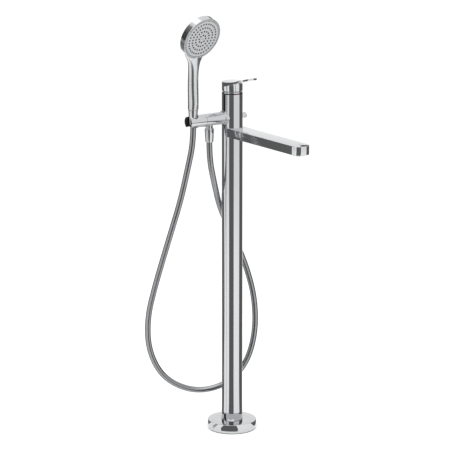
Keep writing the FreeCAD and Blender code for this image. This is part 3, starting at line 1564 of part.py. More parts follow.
def make_hose():
    """The shower hose: down from its outlet, behind the column, and up to the handset."""
    outlet = Vector(-size("outlet_reach"), 0, size("outlet_nut_bottom"))
    handset = Vector(-size("seat_reach"), 0, size("handset_nut_bottom"))
    hanging = [
        (-47, 9, 631),
        (-5, 44, 556),
        (36, 47, 484),
        (65, 30, 405),
        (83, 16, 316),
        (82, 14, 222),
        (60, 28, 140),
        (10, 56, 90),
        (-57, 92, 80),
        (-128, 120, 121),
        (-166, 128, 199),
        (-175, 118, 286),
        (-168, 98, 362),
        (-157, 75, 442),
        (-146, 51, 521),
        (-133, 30, 599),
        (-124, 12, 681),
    ]
    drop = Vector(0, 0, size("hose_drop"))
    route = [outlet, outlet - drop]
    route += [Vector(*point) for point in hanging]
    route += [handset - drop, handset]
    new_solid("hose", tube_along("hose", route, size("hose_dia")))


# ---------------------------------------------------------------- the whole part

make_floor_flange()
make_clamp_screws()
make_floor_cover()
make_floor_gasket()
make_cover_seal()
make_supply(-1, "hot")
make_supply(1, "cold")
make_column_tube()
make_valve_body()
make_cartridge()
make_guide()
make_stem()
make_rings()
make_lever()
make_lever_screw()
make_spout()
make_spout_nipple()
make_aerator()
make_arm()
make_check_valve()
make_outlet_joint()
make_holder_sleeve()
make_holder_insert()
make_swivel_screw()
make_diverter()
make_handset_shell()
make_handset_joint()
make_spray_face()
make_hose()
doc.recompute()

failed = [item.Label for item in doc.Objects if {"Invalid", "Error"} & set(item.State)]
failed += [node.Label for node in nodes if node.Shape.isNull() or not node.Shape.isValid()]
if failed:
    raise RuntimeError(f"not built: {', '.join(failed)}")

os.makedirs("parts", exist_ok=True)
for node in nodes:
    node.Shape.exportStep(f"parts/{node.Label}.step")
print(f"{len(nodes)} nodes written")
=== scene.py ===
"""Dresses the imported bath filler: smooth chrome pieces, the hose, finishes, studio and camera."""

import json
import logging
import math
from dataclasses import dataclass, field
from enum import Enum

import bmesh
import bpy
from mathutils import Matrix, Vector


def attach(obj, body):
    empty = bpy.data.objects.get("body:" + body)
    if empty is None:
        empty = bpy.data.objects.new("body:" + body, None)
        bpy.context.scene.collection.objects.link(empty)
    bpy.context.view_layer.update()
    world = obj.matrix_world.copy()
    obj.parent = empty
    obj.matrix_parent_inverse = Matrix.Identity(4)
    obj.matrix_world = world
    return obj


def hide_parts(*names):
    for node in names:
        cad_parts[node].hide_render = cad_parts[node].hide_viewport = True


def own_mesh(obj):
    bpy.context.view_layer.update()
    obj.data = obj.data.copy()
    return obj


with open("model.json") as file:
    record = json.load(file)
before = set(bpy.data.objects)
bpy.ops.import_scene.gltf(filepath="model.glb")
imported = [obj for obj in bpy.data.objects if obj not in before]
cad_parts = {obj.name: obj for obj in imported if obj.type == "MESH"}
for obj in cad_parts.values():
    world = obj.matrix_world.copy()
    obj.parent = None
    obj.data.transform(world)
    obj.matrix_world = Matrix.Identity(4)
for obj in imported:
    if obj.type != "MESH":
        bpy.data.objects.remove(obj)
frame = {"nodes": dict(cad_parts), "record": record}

log = logging.getLogger("bath_filler")
MM = 0.001
FRONT = -90.0  # degrees about +Z of the side that azimuth 0 looks from
WELD = 1e-6  # metres within which points of a new mesh become one
CAD_WELD = 2e-6  # the same for a copy of a CAD node
SMOOTH_ANGLE = 30.0  # degrees past which an edge of a turned or raised piece stays sharp
EDGE_SEGMENTS = 3  # faces round a softened edge
BEND_SEGMENTS = 24  # faces round a bar's wide bend
CARVED_ANGLE = 35.0  # the same for a carved piece, whose sharper edges are softened
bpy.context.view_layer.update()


class Body(str, Enum):
    """The groups that the pieces made here ride on, as the record names them."""

    STAND = "stand"
    MIXER_LEVER = "mixer_lever"
    DIVERTER = "diverter"
    HOLDER = "holder"
    HANDSET = "handset"


class Axis(Enum):
    """Where a piece's own +Z points on the filler."""

    UP = Matrix.Identity(4)
    RIGHT = Matrix.Rotation(math.radians(90), 4, "Y")
    BACK = Matrix.Rotation(math.radians(-90), 4, "X")


# ------------------------------------------------------------------ finishes


@dataclass(frozen=True)
class Finish:
    """A surface finish: its plain values, and how it varies at close range."""

    name: str
    colour: tuple[float, float, float]
    metallic: float = 0.0
    roughness: float = 0.4
    roughness_spread: float = 0.04
    cloud_scale: float = 14.0
    cloud_detail: float = 3.0
    cloud_range: tuple[float, float] = (0.3, 0.7)
    grain_scale: float = 900.0
    grain_detail: float = 2.0
    grain_height: float = 0.02
    grain_depth: float = 0.0002
    stretch: tuple[float, float, float] = (1.0, 1.0, 1.0)
    shade: float = 0.96
    specular: float = 0.5

    def material(self) -> bpy.types.Material:
        """Builds the finish once and gives the same material afterwards.

        Returns:
            The node-based material.
        """
        known = bpy.data.materials.get(self.name)
        if known:
            return known
        material = bpy.data.materials.new(self.name)
        material.use_nodes = True
        tree = material.node_tree
        nodes, links = tree.nodes, tree.links
        shader = nodes["Principled BSDF"]
        shader.inputs["Metallic"].default_value = self.metallic
        shader.inputs["Specular IOR Level"].default_value = self.specular
        place = nodes.new("ShaderNodeTexCoord")
        mapping = nodes.new("ShaderNodeMapping")
        mapping.inputs["Scale"].default_value = self.stretch
        links.new(place.outputs["Object"], mapping.inputs["Vector"])
        clouds = nodes.new("ShaderNodeTexNoise")
        clouds.inputs["Scale"].default_value = self.cloud_scale
        clouds.inputs["Detail"].default_value = self.cloud_detail
        links.new(mapping.outputs["Vector"], clouds.inputs["Vector"])
        spread = nodes.new("ShaderNodeMapRange")
        spread.inputs["From Min"].default_value = self.cloud_range[0]
        spread.inputs["From Max"].default_value = self.cloud_range[1]
        spread.inputs["To Min"].default_value = self.roughness
        spread.inputs["To Max"].default_value = self.roughness + self.roughness_spread
        links.new(clouds.outputs["Fac"], spread.inputs["Value"])
        links.new(spread.outputs["Result"], shader.inputs["Roughness"])
        tint = nodes.new("ShaderNodeMix")
        tint.data_type = "RGBA"
        tint.inputs["A"].default_value = (*(c * self.shade for c in self.colour), 1.0)
        tint.inputs["B"].default_value = (*self.colour, 1.0)
        links.new(clouds.outputs["Fac"], tint.inputs["Factor"])
        links.new(tint.outputs["Result"], shader.inputs["Base Color"])
        grain = nodes.new("ShaderNodeTexNoise")
        grain.inputs["Scale"].default_value = self.grain_scale
        grain.inputs["Detail"].default_value = self.grain_detail
        links.new(mapping.outputs["Vector"], grain.inputs["Vector"])
        bump = nodes.new("ShaderNodeBump")
        bump.inputs["Strength"].default_value = self.grain_height
        bump.inputs["Distance"].default_value = self.grain_depth
        links.new(grain.outputs["Fac"], bump.inputs["Height"])
        links.new(bump.outputs["Normal"], shader.inputs["Normal"])
        return material


CHROME = Finish(
    "polished_chrome", (0.60, 0.61, 0.622), 1.0, 0.03, 0.03, grain_height=0.004, shade=0.985
)
BAR = Finish("spout_chrome", (0.62, 0.63, 0.642), 1.0, 0.09, 0.03, grain_height=0.004, shade=0.985)
PLATED = Finish(
    "plated_plastic", (0.62, 0.63, 0.64), 1.0, 0.17, 0.04, grain_height=0.004, shade=0.985
)
BRASS = Finish(
    "machined_brass", (0.60, 0.42, 0.17), 1.0, 0.28, 0.1, stretch=(1, 1, 30), grain_height=0.1
)
STEEL = Finish(
    "turned_steel", (0.48, 0.48, 0.49), 1.0, 0.3, 0.1, stretch=(1, 1, 25), grain_height=0.1
)
RUBBER = Finish(
    "seal_rubber", (0.016, 0.016, 0.016), 0.0, 0.6, 0.15, grain_height=0.2, specular=0.3
)
BLACK = Finish(
    "black_liner", (0.010, 0.010, 0.011), 0.0, 0.35, 0.1, grain_height=0.1, specular=0.3
)
WHITE = Finish("white_plastic", (0.74, 0.74, 0.71), 0.0, 0.35, 0.1, grain_height=0.05)
FACE = Finish("spray_face", (0.60, 0.61, 0.625), 0.0, 0.33, 0.08, grain_height=0.05)
FACE_RING = Finish("spray_face_ring", (0.36, 0.365, 0.37), 0.3, 0.3, 0.05)
NOZZLE = Finish("spray_nozzles", (0.012, 0.012, 0.013), 0.0, 0.6, 0.1, specular=0.15)
RED = Finish("hot_mark", (0.10, 0.006, 0.006), 0.0, 0.25, 0.05)
BLUE = Finish("cold_mark", (0.006, 0.010, 0.09), 0.0, 0.25, 0.05)
HOSE = Finish("silver_hose", (0.30, 0.305, 0.315), 1.0, 0.12, 0.05, grain_height=0.01)

SLOT_FINISHES = {
    "chrome": CHROME,
    "chromed_plastic": PLATED,
    "brass": BRASS,
    "steel": STEEL,
    "rubber": RUBBER,
    "black_plastic": BLACK,
    "white_plastic": WHITE,
    "face_plastic": FACE,
    "ring_plastic": FACE_RING,
    "nozzle_rubber": NOZZLE,
    "red_mark": RED,
    "blue_mark": BLUE,
    "hose_cover": HOSE,
}


# ------------------------------------------------------------------ making pieces


def hand_over(
    mesh: bpy.types.Mesh,
    name: str,
    body: Body,
    slot: str,
    node: str,
) -> bpy.types.Object:
    """Links a finished mesh, gives it its finish, and hides the CAD node that it replaces.

    Args:
        mesh: The mesh, with its place already in it.
        name: The piece's name.
        body: The group that it rides on.
        slot: The record's material slot.
        node: The CAD node that it replaces.

    Returns:
        The piece.
    """
    piece = bpy.data.objects.new(name, mesh)
    bpy.context.scene.collection.objects.link(piece)
    mesh.materials.clear()
    mesh.materials.append(SLOT_FINISHES[slot].material())
    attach(piece, body.value)
    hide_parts(node)
    log.info("%s rides on %s", name, body.value)
    return piece


def mesh_from(bm: bmesh.types.BMesh, name: str) -> bpy.types.Mesh:
    """Closes a bmesh into a smooth-shaded mesh with its sharp edges kept.

    Args:
        bm: The bmesh, freed afterwards.
        name: The mesh's name.

    Returns:
        The mesh.
    """
    bmesh.ops.remove_doubles(bm, verts=bm.verts, dist=WELD)
    bmesh.ops.recalc_face_normals(bm, faces=bm.faces)
    mesh = bpy.data.meshes.new(name)
    bm.to_mesh(mesh)
    bm.free()
    mesh.shade_smooth()
    mesh.set_sharp_from_angle(angle=math.radians(SMOOTH_ANGLE))
    return mesh


def turned(
    name: str,
    outline: list[tuple[float, float]],
    place: Matrix,
    edge: float = 0.2,
    steps: int = 192,
) -> bpy.types.Mesh:
    """Spins an outline round its own Z axis, with softened corners.

    Args:
        name: The mesh's name.
        outline: The closed section as (radius, height) in millimetres.
        place: Where the piece's own frame lies, in metres.
        edge: The rounding of the outline's corners in millimetres.
        steps: Faces round the piece.

    Returns:
        The mesh.
    """
    bm = bmesh.new()
    corners = [bm.verts.new((radius * MM, 0.0, height * MM)) for radius, height in outline]
    for first, second in zip(corners, corners[1:] + corners[:1]):
        if first.co.x > 0 or second.co.x > 0:
            bm.edges.new((first, second))
    if edge:
        soft = [corner for corner in corners if corner.co.x > 0 and len(corner.link_edges) == 2]
        bmesh.ops.bevel(
            bm,
            geom=soft,
            offset=edge * MM,
            affect="VERTICES",
            segments=EDGE_SEGMENTS,
            profile=0.5,
            material=-1,
        )
    bmesh.ops.spin(
        bm,
        geom=bm.verts[:] + bm.edges[:],
        cent=(0, 0, 0),
        axis=(0, 0, 1),
        angle=2 * math.pi,
        steps=steps,
        use_merge=True,
    )
    bmesh.ops.transform(bm, matrix=place, verts=bm.verts)
    return mesh_from(bm, name)


def cylinder(
    name: str, radius: float, low: float, high: float, place: Matrix, steps: int = 192
) -> bpy.types.Mesh:
    """A plain cylinder about its own Z axis.

    Args:
        name: The mesh's name.
        radius: Its radius in millimetres.
        low: Its lower end in millimetres.
        high: Its upper end in millimetres.
        place: Where the piece's own frame lies, in metres.
        steps: Faces round the piece.

    Returns:
        The mesh.
    """
    corners = [(0, low), (radius, low), (radius, high), (0, high)]
    return turned(name, corners, place, edge=0, steps=steps)


def half_circle(
    bm: bmesh.types.BMesh, centre: Vector, reach: float, steps: int
) -> tuple[bmesh.types.BMVert, bmesh.types.BMVert]:
    """Spins a point half round a centre, to make an arc of edges.

    Args:
        bm: The bmesh that gets the arc.
        centre: The arc's centre in metres.
        reach: How far to the right of the centre the arc starts, in millimetres.
        steps: Edges along the arc.

    Returns:
        The arc's first and last point.
    """
    first = bm.verts.new(centre + Vector((reach, 0, 0)) * MM)
    arc = bmesh.ops.spin(
        bm, geom=[first], cent=centre, axis=(0, 0, 1), angle=math.pi, steps=steps
    )
    last = next(item for item in arc["geom_last"] if isinstance(item, bmesh.types.BMVert))
    return first, last


def merged_copy(node: str) -> bpy.types.Mesh:
    """A merged copy of a CAD node that keeps the true surface normals.

    Args:
        node: The CAD node's name.

    Returns:
        The mesh.
    """
    source = frame["nodes"][node].data
    bm = bmesh.new()
    bm.from_mesh(source)
    kept = bm.loops.layers.float_vector.new("kept_normal")
    for face, polygon in zip(bm.faces, source.polygons):
        for loop, corner in zip(face.loops, polygon.loop_indices):
            loop[kept] = source.corner_normals[corner].vector
    bmesh.ops.remove_doubles(bm, verts=bm.verts, dist=CAD_WELD)
    mesh = bpy.data.meshes.new(node + "_smooth")
    bm.to_mesh(mesh)
    bm.free()
    normals = [item.vector[:] for item in mesh.attributes["kept_normal"].data]
    mesh.attributes.remove(mesh.attributes["kept_normal"])
    mesh.shade_smooth()
    mesh.normals_split_custom_set(normals)
    return mesh


def raise_outline(bm: bmesh.types.BMesh, height: float) -> None:
    """Fills the closed outline in a bmesh and raises it along +Z.

    Args:
        bm: The bmesh with the outline's edges alone.
        height: How far it is raised, in metres.
    """
    plan = bmesh.ops.contextual_create(bm, geom=bm.edges[:])["faces"]
    block = bmesh.ops.extrude_face_region(bm, geom=plan)
    lifted = [item for item in block["geom"] if isinstance(item, bmesh.types.BMVert)]
    bmesh.ops.translate(bm, verts=lifted, vec=(0, 0, height))
    bmesh.ops.recalc_face_normals(bm, faces=bm.faces)


def across(
    name: str,
    outline: list[tuple[float, float]],
    half_width: float,
    rounded: dict[int, float] | None = None,
) -> bpy.types.Mesh:
    """A bar that lies across the filler along X, from its outline in Y and Z.

    Args:
        name: The mesh's name.
        outline: The corners as (y, z) in millimetres.
        half_width: Half of its length in millimetres.
        rounded: The corners to round by number, with how far the rounding starts from each.

    Returns:
        The mesh.
    """
    bm = bmesh.new()
    corners = [bm.verts.new((-z * MM, y * MM, 0.0)) for y, z in outline]
    for first, second in zip(corners, corners[1:] + corners[:1]):
        bm.edges.new((first, second))
    for number, start in (rounded or {}).items():
        bmesh.ops.bevel(
            bm,
            geom=[corners[number]],
            offset=start * MM,
            affect="VERTICES",
            segments=BEND_SEGMENTS,
            profile=0.5,
            material=-1,
        )
    raise_outline(bm, 2 * half_width * MM)
    mesh = mesh_from(bm, name)
    mesh.transform(at(x=-half_width) @ Axis.RIGHT.value)
    return mesh


def carved(
    stock: bpy.types.Mesh, steps: list[tuple[str, bpy.types.Mesh]], edge: float
) -> bpy.types.Mesh:
    """Adds meshes to a stock and cuts others out of it, then softens the sharp edges.

    Args:
        stock: The mesh to start from.
        steps: The boolean operations in order, each with its mesh.
        edge: The rounding of sharp edges in millimetres.

    Returns:
        The finished mesh.
    """
    work = bpy.data.objects.new("stock", stock)
    bpy.context.scene.collection.objects.link(work)
    tools = []
    for operation, mesh in steps:
        tool = bpy.data.objects.new("tool", mesh)
        bpy.context.scene.collection.objects.link(tool)
        change = work.modifiers.new(operation.lower(), "BOOLEAN")
        change.operation = operation
        change.solver = "EXACT"
        change.object = tool
        tools.append(tool)
    soft = work.modifiers.new("soft", "BEVEL")
    soft.width = edge * MM
    soft.segments = EDGE_SEGMENTS
    soft.limit_method = "ANGLE"
    soft.angle_limit = math.radians(CARVED_ANGLE)
    result = bpy.data.meshes.new_from_object(
        work.evaluated_get(bpy.context.evaluated_depsgraph_get())
    )
    for item in [work, *tools]:
        bpy.data.objects.remove(item)
    result.shade_smooth()
    result.set_sharp_from_angle(angle=math.radians(CARVED_ANGLE))
    return result


def at(x: float = 0.0, y: float = 0.0, z: float = 0.0) -> Matrix:
    """A shift as a matrix.

    Args:
        x: To the right, in millimetres.
        y: To the back, in millimetres.
        z: Up, in millimetres.

    Returns:
        The matrix, in metres.
    """
    return Matrix.Translation(Vector((x, y, z)) * MM)


# ------------------------------------------------------------------ sub-assemblies


@dataclass
class FloorFixing:
    """The hollow cover disc on the floor, open below."""

    cover_radius: float = 60.5
    cover_bottom: float = 1.2
    cover_top: float = 23.0
    cover_wall: float = 2.5
    column_hole: float = 26.3
    edge: float = 0.7

    def build(self) -> None:
        """Makes the cover."""
        ceiling = self.cover_top - self.cover_wall
        inside = self.cover_radius - self.cover_wall
        outline = [
            (inside, self.cover_bottom),
            (self.cover_radius, self.cover_bottom),
            (self.cover_radius, self.cover_top),
            (self.column_hole, self.cover_top),
            (self.column_hole, ceiling),
            (inside, ceiling),
        ]
        mesh = turned("cover_disc", outline, Axis.UP.value, edge=self.edge)
        hand_over(mesh, "cover_disc", Body.STAND, "chrome", "floor_cover")


@dataclass
class Column:
    """The tube, and the bright ring between it and the lever."""

    radius: float = 26.0
    wall: float = 2.0
    bottom: float = 12.0
    top: float = 854.5
    index_top: float = 857.5
    trim_top: float = 860.0
    neck_top: float = 861.0
    neck_radius: float = 23.2
    ring_bore: float = 22.0
    tube_edge: float = 0.15
    ring_edge: float = 0.2

    def build(self) -> None:
        """Makes the tube and the ring."""
        inner = self.radius - self.wall
        outline = [
            (inner, self.bottom),
            (self.radius, self.bottom),
            (self.radius, self.top),
            (inner, self.top),
        ]
        tube = turned("column", outline, Axis.UP.value, edge=self.tube_edge)
        hand_over(tube, "column", Body.STAND, "chrome", "column_tube")
        outline = [
            (self.ring_bore, self.index_top),
            (self.radius, self.index_top),
            (self.radius, self.trim_top),
            (self.neck_radius, self.trim_top),
            (self.neck_radius, self.neck_top),
            (self.ring_bore, self.neck_top),
        ]
        trim = turned("trim", outline, Axis.UP.value, edge=self.ring_edge)
        hand_over(trim, "trim", Body.STAND, "chrome", "trim_ring")


@dataclass
class Spout:
    """The flat spout with its half round end, and the ring of its aerator."""

    half_width: float = 23.25
    top: float = 771.5
    height: float = 22.0
    reach: float = 295.5
    root: float = 11.0
    edge: float = 0.9
    edge_segments: int = 4
    arc_steps: int = 64

    def build(self) -> None:
        """Makes the bar and takes over the aerator's ring."""
        bm = bmesh.new()
        centre = Vector((0, -(self.reach - self.half_width), self.top - self.height)) * MM
        tip = half_circle(bm, centre, -self.half_width, self.arc_steps)
        root = bmesh.ops.extrude_vert_indiv(bm, verts=list(tip))["verts"]
        back = Vector((0, self.reach - self.half_width - self.root, 0)) * MM
        bmesh.ops.translate(bm, verts=root, vec=back)
        bmesh.ops.contextual_create(bm, geom=root)
        raise_outline(bm, self.height * MM)
        level = [
            edge for edge in bm.edges if abs(edge.verts[0].co.z - edge.verts[1].co.z) < WELD
        ]
        bmesh.ops.bevel(
            bm,
            geom=level,
            offset=self.edge * MM,
            affect="EDGES",
            segments=self.edge_segments,
            profile=0.5,
            material=-1,
            clamp_overlap=True,
        )
        bar = hand_over(mesh_from(bm, "spout_bar"), "spout_bar", Body.STAND, "chrome", "spout")
        bar.data.materials[0] = BAR.material()
        collar = merged_copy("aerator_ring")
        hand_over(collar, "aerator_collar", Body.STAND, "chrome", "aerator_ring")


@dataclass
class HoseNut:
    """A conical hose nut."""

    small: float = 9.9
    large: float = 12.0
    bore: float = 4.5
    thread: float = 10.25
    edge: float = 0.6

    def mesh(
        self, name: str, low: float, high: float, seat: float, place: Matrix
    ) -> bpy.types.Mesh:
        """Spins one nut.

        Args:
            name: The mesh's name.
            low: Its lower face in millimetres.
            high: Its upper face in millimetres.
            seat: The height of its washer seat in millimetres.
            place: Where its axis stands.

        Returns:
            The mesh.
        """
        outline = [
            (self.bore, low),
            (self.small, low),
            (self.large, high),
            (self.thread, high),
            (self.thread, seat),
            (self.bore, seat),
        ]
        return turned(name, outline, place, edge=self.edge)


@dataclass
class Arm:
    """The fixed arm with the nut on its outlet, the holder on its end, and the liner in it."""

    nut: HoseNut = field(default_factory=HoseNut)
    outlet_reach: float = 68.4
    nut_low: float = 741.7
    nut_high: float = 773.9
    nut_seat: float = 760.0

    def build(self) -> None:
        """Makes the arm, its nut, the holder and the liner."""
        hand_over(merged_copy("arm"), "arm_bar", Body.STAND, "chrome", "arm")
        place = at(x=-self.outlet_reach)
        cone = self.nut.mesh("outlet_cone", self.nut_low, self.nut_high, self.nut_seat, place)
        hand_over(cone, "outlet_cone", Body.STAND, "chrome", "outlet_nut")
        sleeve = merged_copy("holder_sleeve")
        hand_over(sleeve, "holder_shell", Body.HOLDER, "chrome", "holder_sleeve")
        liner = merged_copy("holder_insert")
        hand_over(liner, "holder_liner", Body.HOLDER, "black_plastic", "holder_insert")


@dataclass
class Diverter:
    """The pull knob, and the spring that it presses together.

    `start`, `end` and `socket` are distances from the column's axis.
    """

    level: float = 796.5
    radius: float = 7.15
    start: float = 27.0
    end: float = 39.5
    stem: float = 2.5
    socket: float = 33.0
    edge: float = 0.8
    steps: int = 96
    stroke: float = 8.0

    def build(self) -> None:
        """Makes the knob and the spring."""
        outline = [
            (0.0, self.socket),
            (self.stem, self.socket),
            (self.stem, self.start),
            (self.radius, self.start),
            (self.radius, self.end),
            (0.0, self.end),
        ]
        place = at(z=self.level) @ Axis.RIGHT.value
        knob = turned("pull_knob", outline, place, edge=self.edge, steps=self.steps)
        hand_over(knob, "pull_knob", Body.DIVERTER, "chrome", "diverter_knob")
        wire = merged_copy("diverter_spring")
        coil = hand_over(wire, "return_spring", Body.STAND, "steel", "diverter_spring")
        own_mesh(coil)


@dataclass
class Lever:
    """The lever: a round cap that carries a flat blade with a half round end.

    The blade's top is level up to the bend and rises from there at the slope `rise`. Its
    underside has that slope all along, and stands at the height `root_under` on the axis.
    """

    radius: float = 26.0
    reach: float = 84.0
    rim: float = 862.5
    wall: float = 2.5
    roof: float = 868.5
    top: float = 884.0
    bend: float = -22.0
    bend_round: float = 30.0
    rise: float = 0.305
    root_under: float = 872.9
    plug_height: float = 869.8
    plug_radius: float = 2.35
    plug_steps: int = 48
    edge: float = 0.35
    arc_steps: int = 96
    # how far the cutting pieces stand out over what they cut
    margin: float = 10.0
    overlap: float = 1.0

    def build(self) -> None:
        """Carves the lever out of a bar that is round at both ends."""
        blank = self.blank()
        ceiling = self.top + 2 * self.radius
        back, tip = self.radius + self.margin, -self.reach - self.margin
        above = [
            (back, self.top),
            (self.bend, self.top),
            (tip, self.top + self.rise * (self.bend - tip)),
            (tip, ceiling),
            (back, ceiling),
        ]
        below = [
            (back, self.rim - self.margin),
            (back, self.root_under - self.rise * back),
            (tip, self.root_under - self.rise * tip),
            (tip, self.rim - self.margin),
        ]
        top_cut = across("top_cut", above, 2 * self.radius, {1: self.bend_round})
        under_cut = across("under_cut", below, 2 * self.radius)
        cap = cylinder("cap", self.radius, self.rim, self.top, at())
        inner = self.radius - self.wall
        inside = cylinder("inside", inner, self.rim - self.overlap, self.roof, at())
        plug = cylinder(
            "plug_hole",
            self.plug_radius,
            inner - self.overlap,
            self.radius + self.overlap,
            at(z=self.plug_height) @ Axis.BACK.value,
            self.plug_steps,
        )
        steps = [
            ("DIFFERENCE", under_cut),
            ("UNION", cap),
            ("DIFFERENCE", top_cut),
            ("DIFFERENCE", inside),
            ("DIFFERENCE", plug),
        ]
        mesh = carved(blank, steps, self.edge)
        hand_over(mesh, "lever_shell", Body.MIXER_LEVER, "chrome", "lever")

    def blank(self) -> bpy.types.Mesh:
        """The bar, round at both ends, that the lever is carved from.

        Returns:
            The mesh.
        """
        height = self.top + 2 * self.radius - self.rim
        axis = Vector((0, 0, self.rim)) * MM
        tip = Vector((0, self.radius - self.reach, self.rim)) * MM
        bm = bmesh.new()
        back_first, back_last = half_circle(bm, axis, self.radius, self.arc_steps)
        front_first, front_last = half_circle(bm, tip, -self.radius, self.arc_steps)
        bm.edges.new((back_last, front_first))
        bm.edges.new((front_last, back_first))
        raise_outline(bm, height * MM)
        return mesh_from(bm, "lever_blank")


@dataclass
class Handset:
    """The handset: its shell, its nut and the nozzles in its face."""

    nut: HoseNut = field(default_factory=HoseNut)
    seat_reach: float = 116.2
    turn: float = 5.7
    face: tuple[float, float, float] = (0.0, -34.9, 1003.2)
    tilt: float = 21.8
    rings: int = 4
    ring_step: float = 10.0
    first_ring: int = 8
    nozzle_radius: float = 2.0
    nozzle_tip: float = 1.6
    nozzle_rise: float = 0.9
    nozzle_sides: int = 16
    setback: float = 0.2
    nut_low: float = 789.3
    nut_high: float = 826.3
    nut_seat: float = 810.3

    def head(self) -> Matrix:
        """Where the head's own frame lies: origin at the face centre, +Z out of its back.

        Returns:
            The matrix, in metres.
        """
        turn = Matrix.Rotation(math.radians(self.turn), 4, "Z")
        tilt = Matrix.Rotation(math.radians(self.tilt - 90), 4, "X")
        return at(x=-self.seat_reach) @ turn @ at(*self.face) @ tilt

    def nozzles(self) -> bpy.types.Mesh:
        """The rubber nozzles in rings round the face's centre.

        Returns:
            The mesh.
        """
        bm = bmesh.new()
        middle = self.setback - self.nozzle_rise / 2
        for ring in range(1, self.rings + 1):
            count = self.first_ring * ring
            for number in range(count):
                turn = Matrix.Rotation(2 * math.pi * number / count, 4, "Z")
                bmesh.ops.create_cone(
                    bm,
                    cap_ends=True,
                    segments=self.nozzle_sides,
                    radius1=self.nozzle_tip * MM,
                    radius2=self.nozzle_radius * MM,
                    depth=self.nozzle_rise * MM,
                    matrix=turn @ at(ring * self.ring_step, 0, middle),
                )
        bmesh.ops.transform(bm, matrix=self.head(), verts=bm.verts)
        return mesh_from(bm, "nozzle_field")

    def build(self) -> None:
        """Makes the shell, the nut and the nozzles."""
        nozzles = self.nozzles()
        hand_over(nozzles, "nozzle_field", Body.HANDSET, "nozzle_rubber", "spray_nozzles")
        shell = merged_copy("handset_shell")
        hand_over(shell, "shell", Body.HANDSET, "chromed_plastic", "handset_shell")
        place = at(x=-self.seat_reach)
        cone = self.nut.mesh("handset_cone", self.nut_low, self.nut_high, self.nut_seat, place)
        hand_over(cone, "handset_cone", Body.HANDSET, "chrome", "handset_nut")


@dataclass
class ShowerHose:
    """The smooth silver hose, hanging from its outlet up to the handset."""

    diameter: float = 14.7
    outlet: tuple[float, float, float] = (-68.4, 0.0, 741.7)
    handset: tuple[float, float, float] = (-116.2, 0.0, 789.3)
    drop: float = 43.0
    length: float = 1571.3
    steps_along: int = 24
    steps_round: int = 10

    def route(self) -> list[Vector]:
        """The hose's own points.

        Returns:
            The points in metres, from the outlet to the handset.
        """
        hanging = [
            (-47, 9, 631),
            (-5, 44, 556),
            (36, 47, 484),
            (65, 30, 405),
            (83, 16, 316),
            (82, 14, 222),
            (60, 28, 140),
            (10, 56, 90),
            (-57, 92, 80),
            (-128, 120, 121),
            (-166, 128, 199),
            (-175, 118, 286),
            (-168, 98, 362),
            (-157, 75, 442),
            (-146, 51, 521),
            (-133, 30, 599),
            (-124, 12, 681),
        ]
        down = Vector((0, 0, -self.drop))
        outlet, handset = Vector(self.outlet), Vector(self.handset)
        points = [outlet, outlet + down, *map(Vector, hanging), handset + down, handset]
        return [point * MM for point in points]

    def build(self) -> None:
        """Makes the hose as one round curve."""
        curve = bpy.data.curves.new("hose_line", "CURVE")
        curve.dimensions = "3D"
        spline = curve.splines.new("NURBS")
        points = self.route()
        spline.points.add(len(points) - 1)
        for target, point in zip(spline.points, points):
            target.co = (*point, 1.0)
        spline.order_u = 3
        spline.use_endpoint_u = True
        curve.resolution_u = self.steps_along
        curve.bevel_depth = self.diameter / 2 * MM
        curve.bevel_resolution = self.steps_round
        curve.use_fill_caps = True
        piece = bpy.data.objects.new("shower_hose", curve)
        bpy.context.scene.collection.objects.link(piece)
        curve.materials.append(HOSE.material())
        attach(piece, Body.STAND.value)
        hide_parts("hose")
        log.info("shower_hose hangs from the outlet to the handset")


# ------------------------------------------------------------------ studio


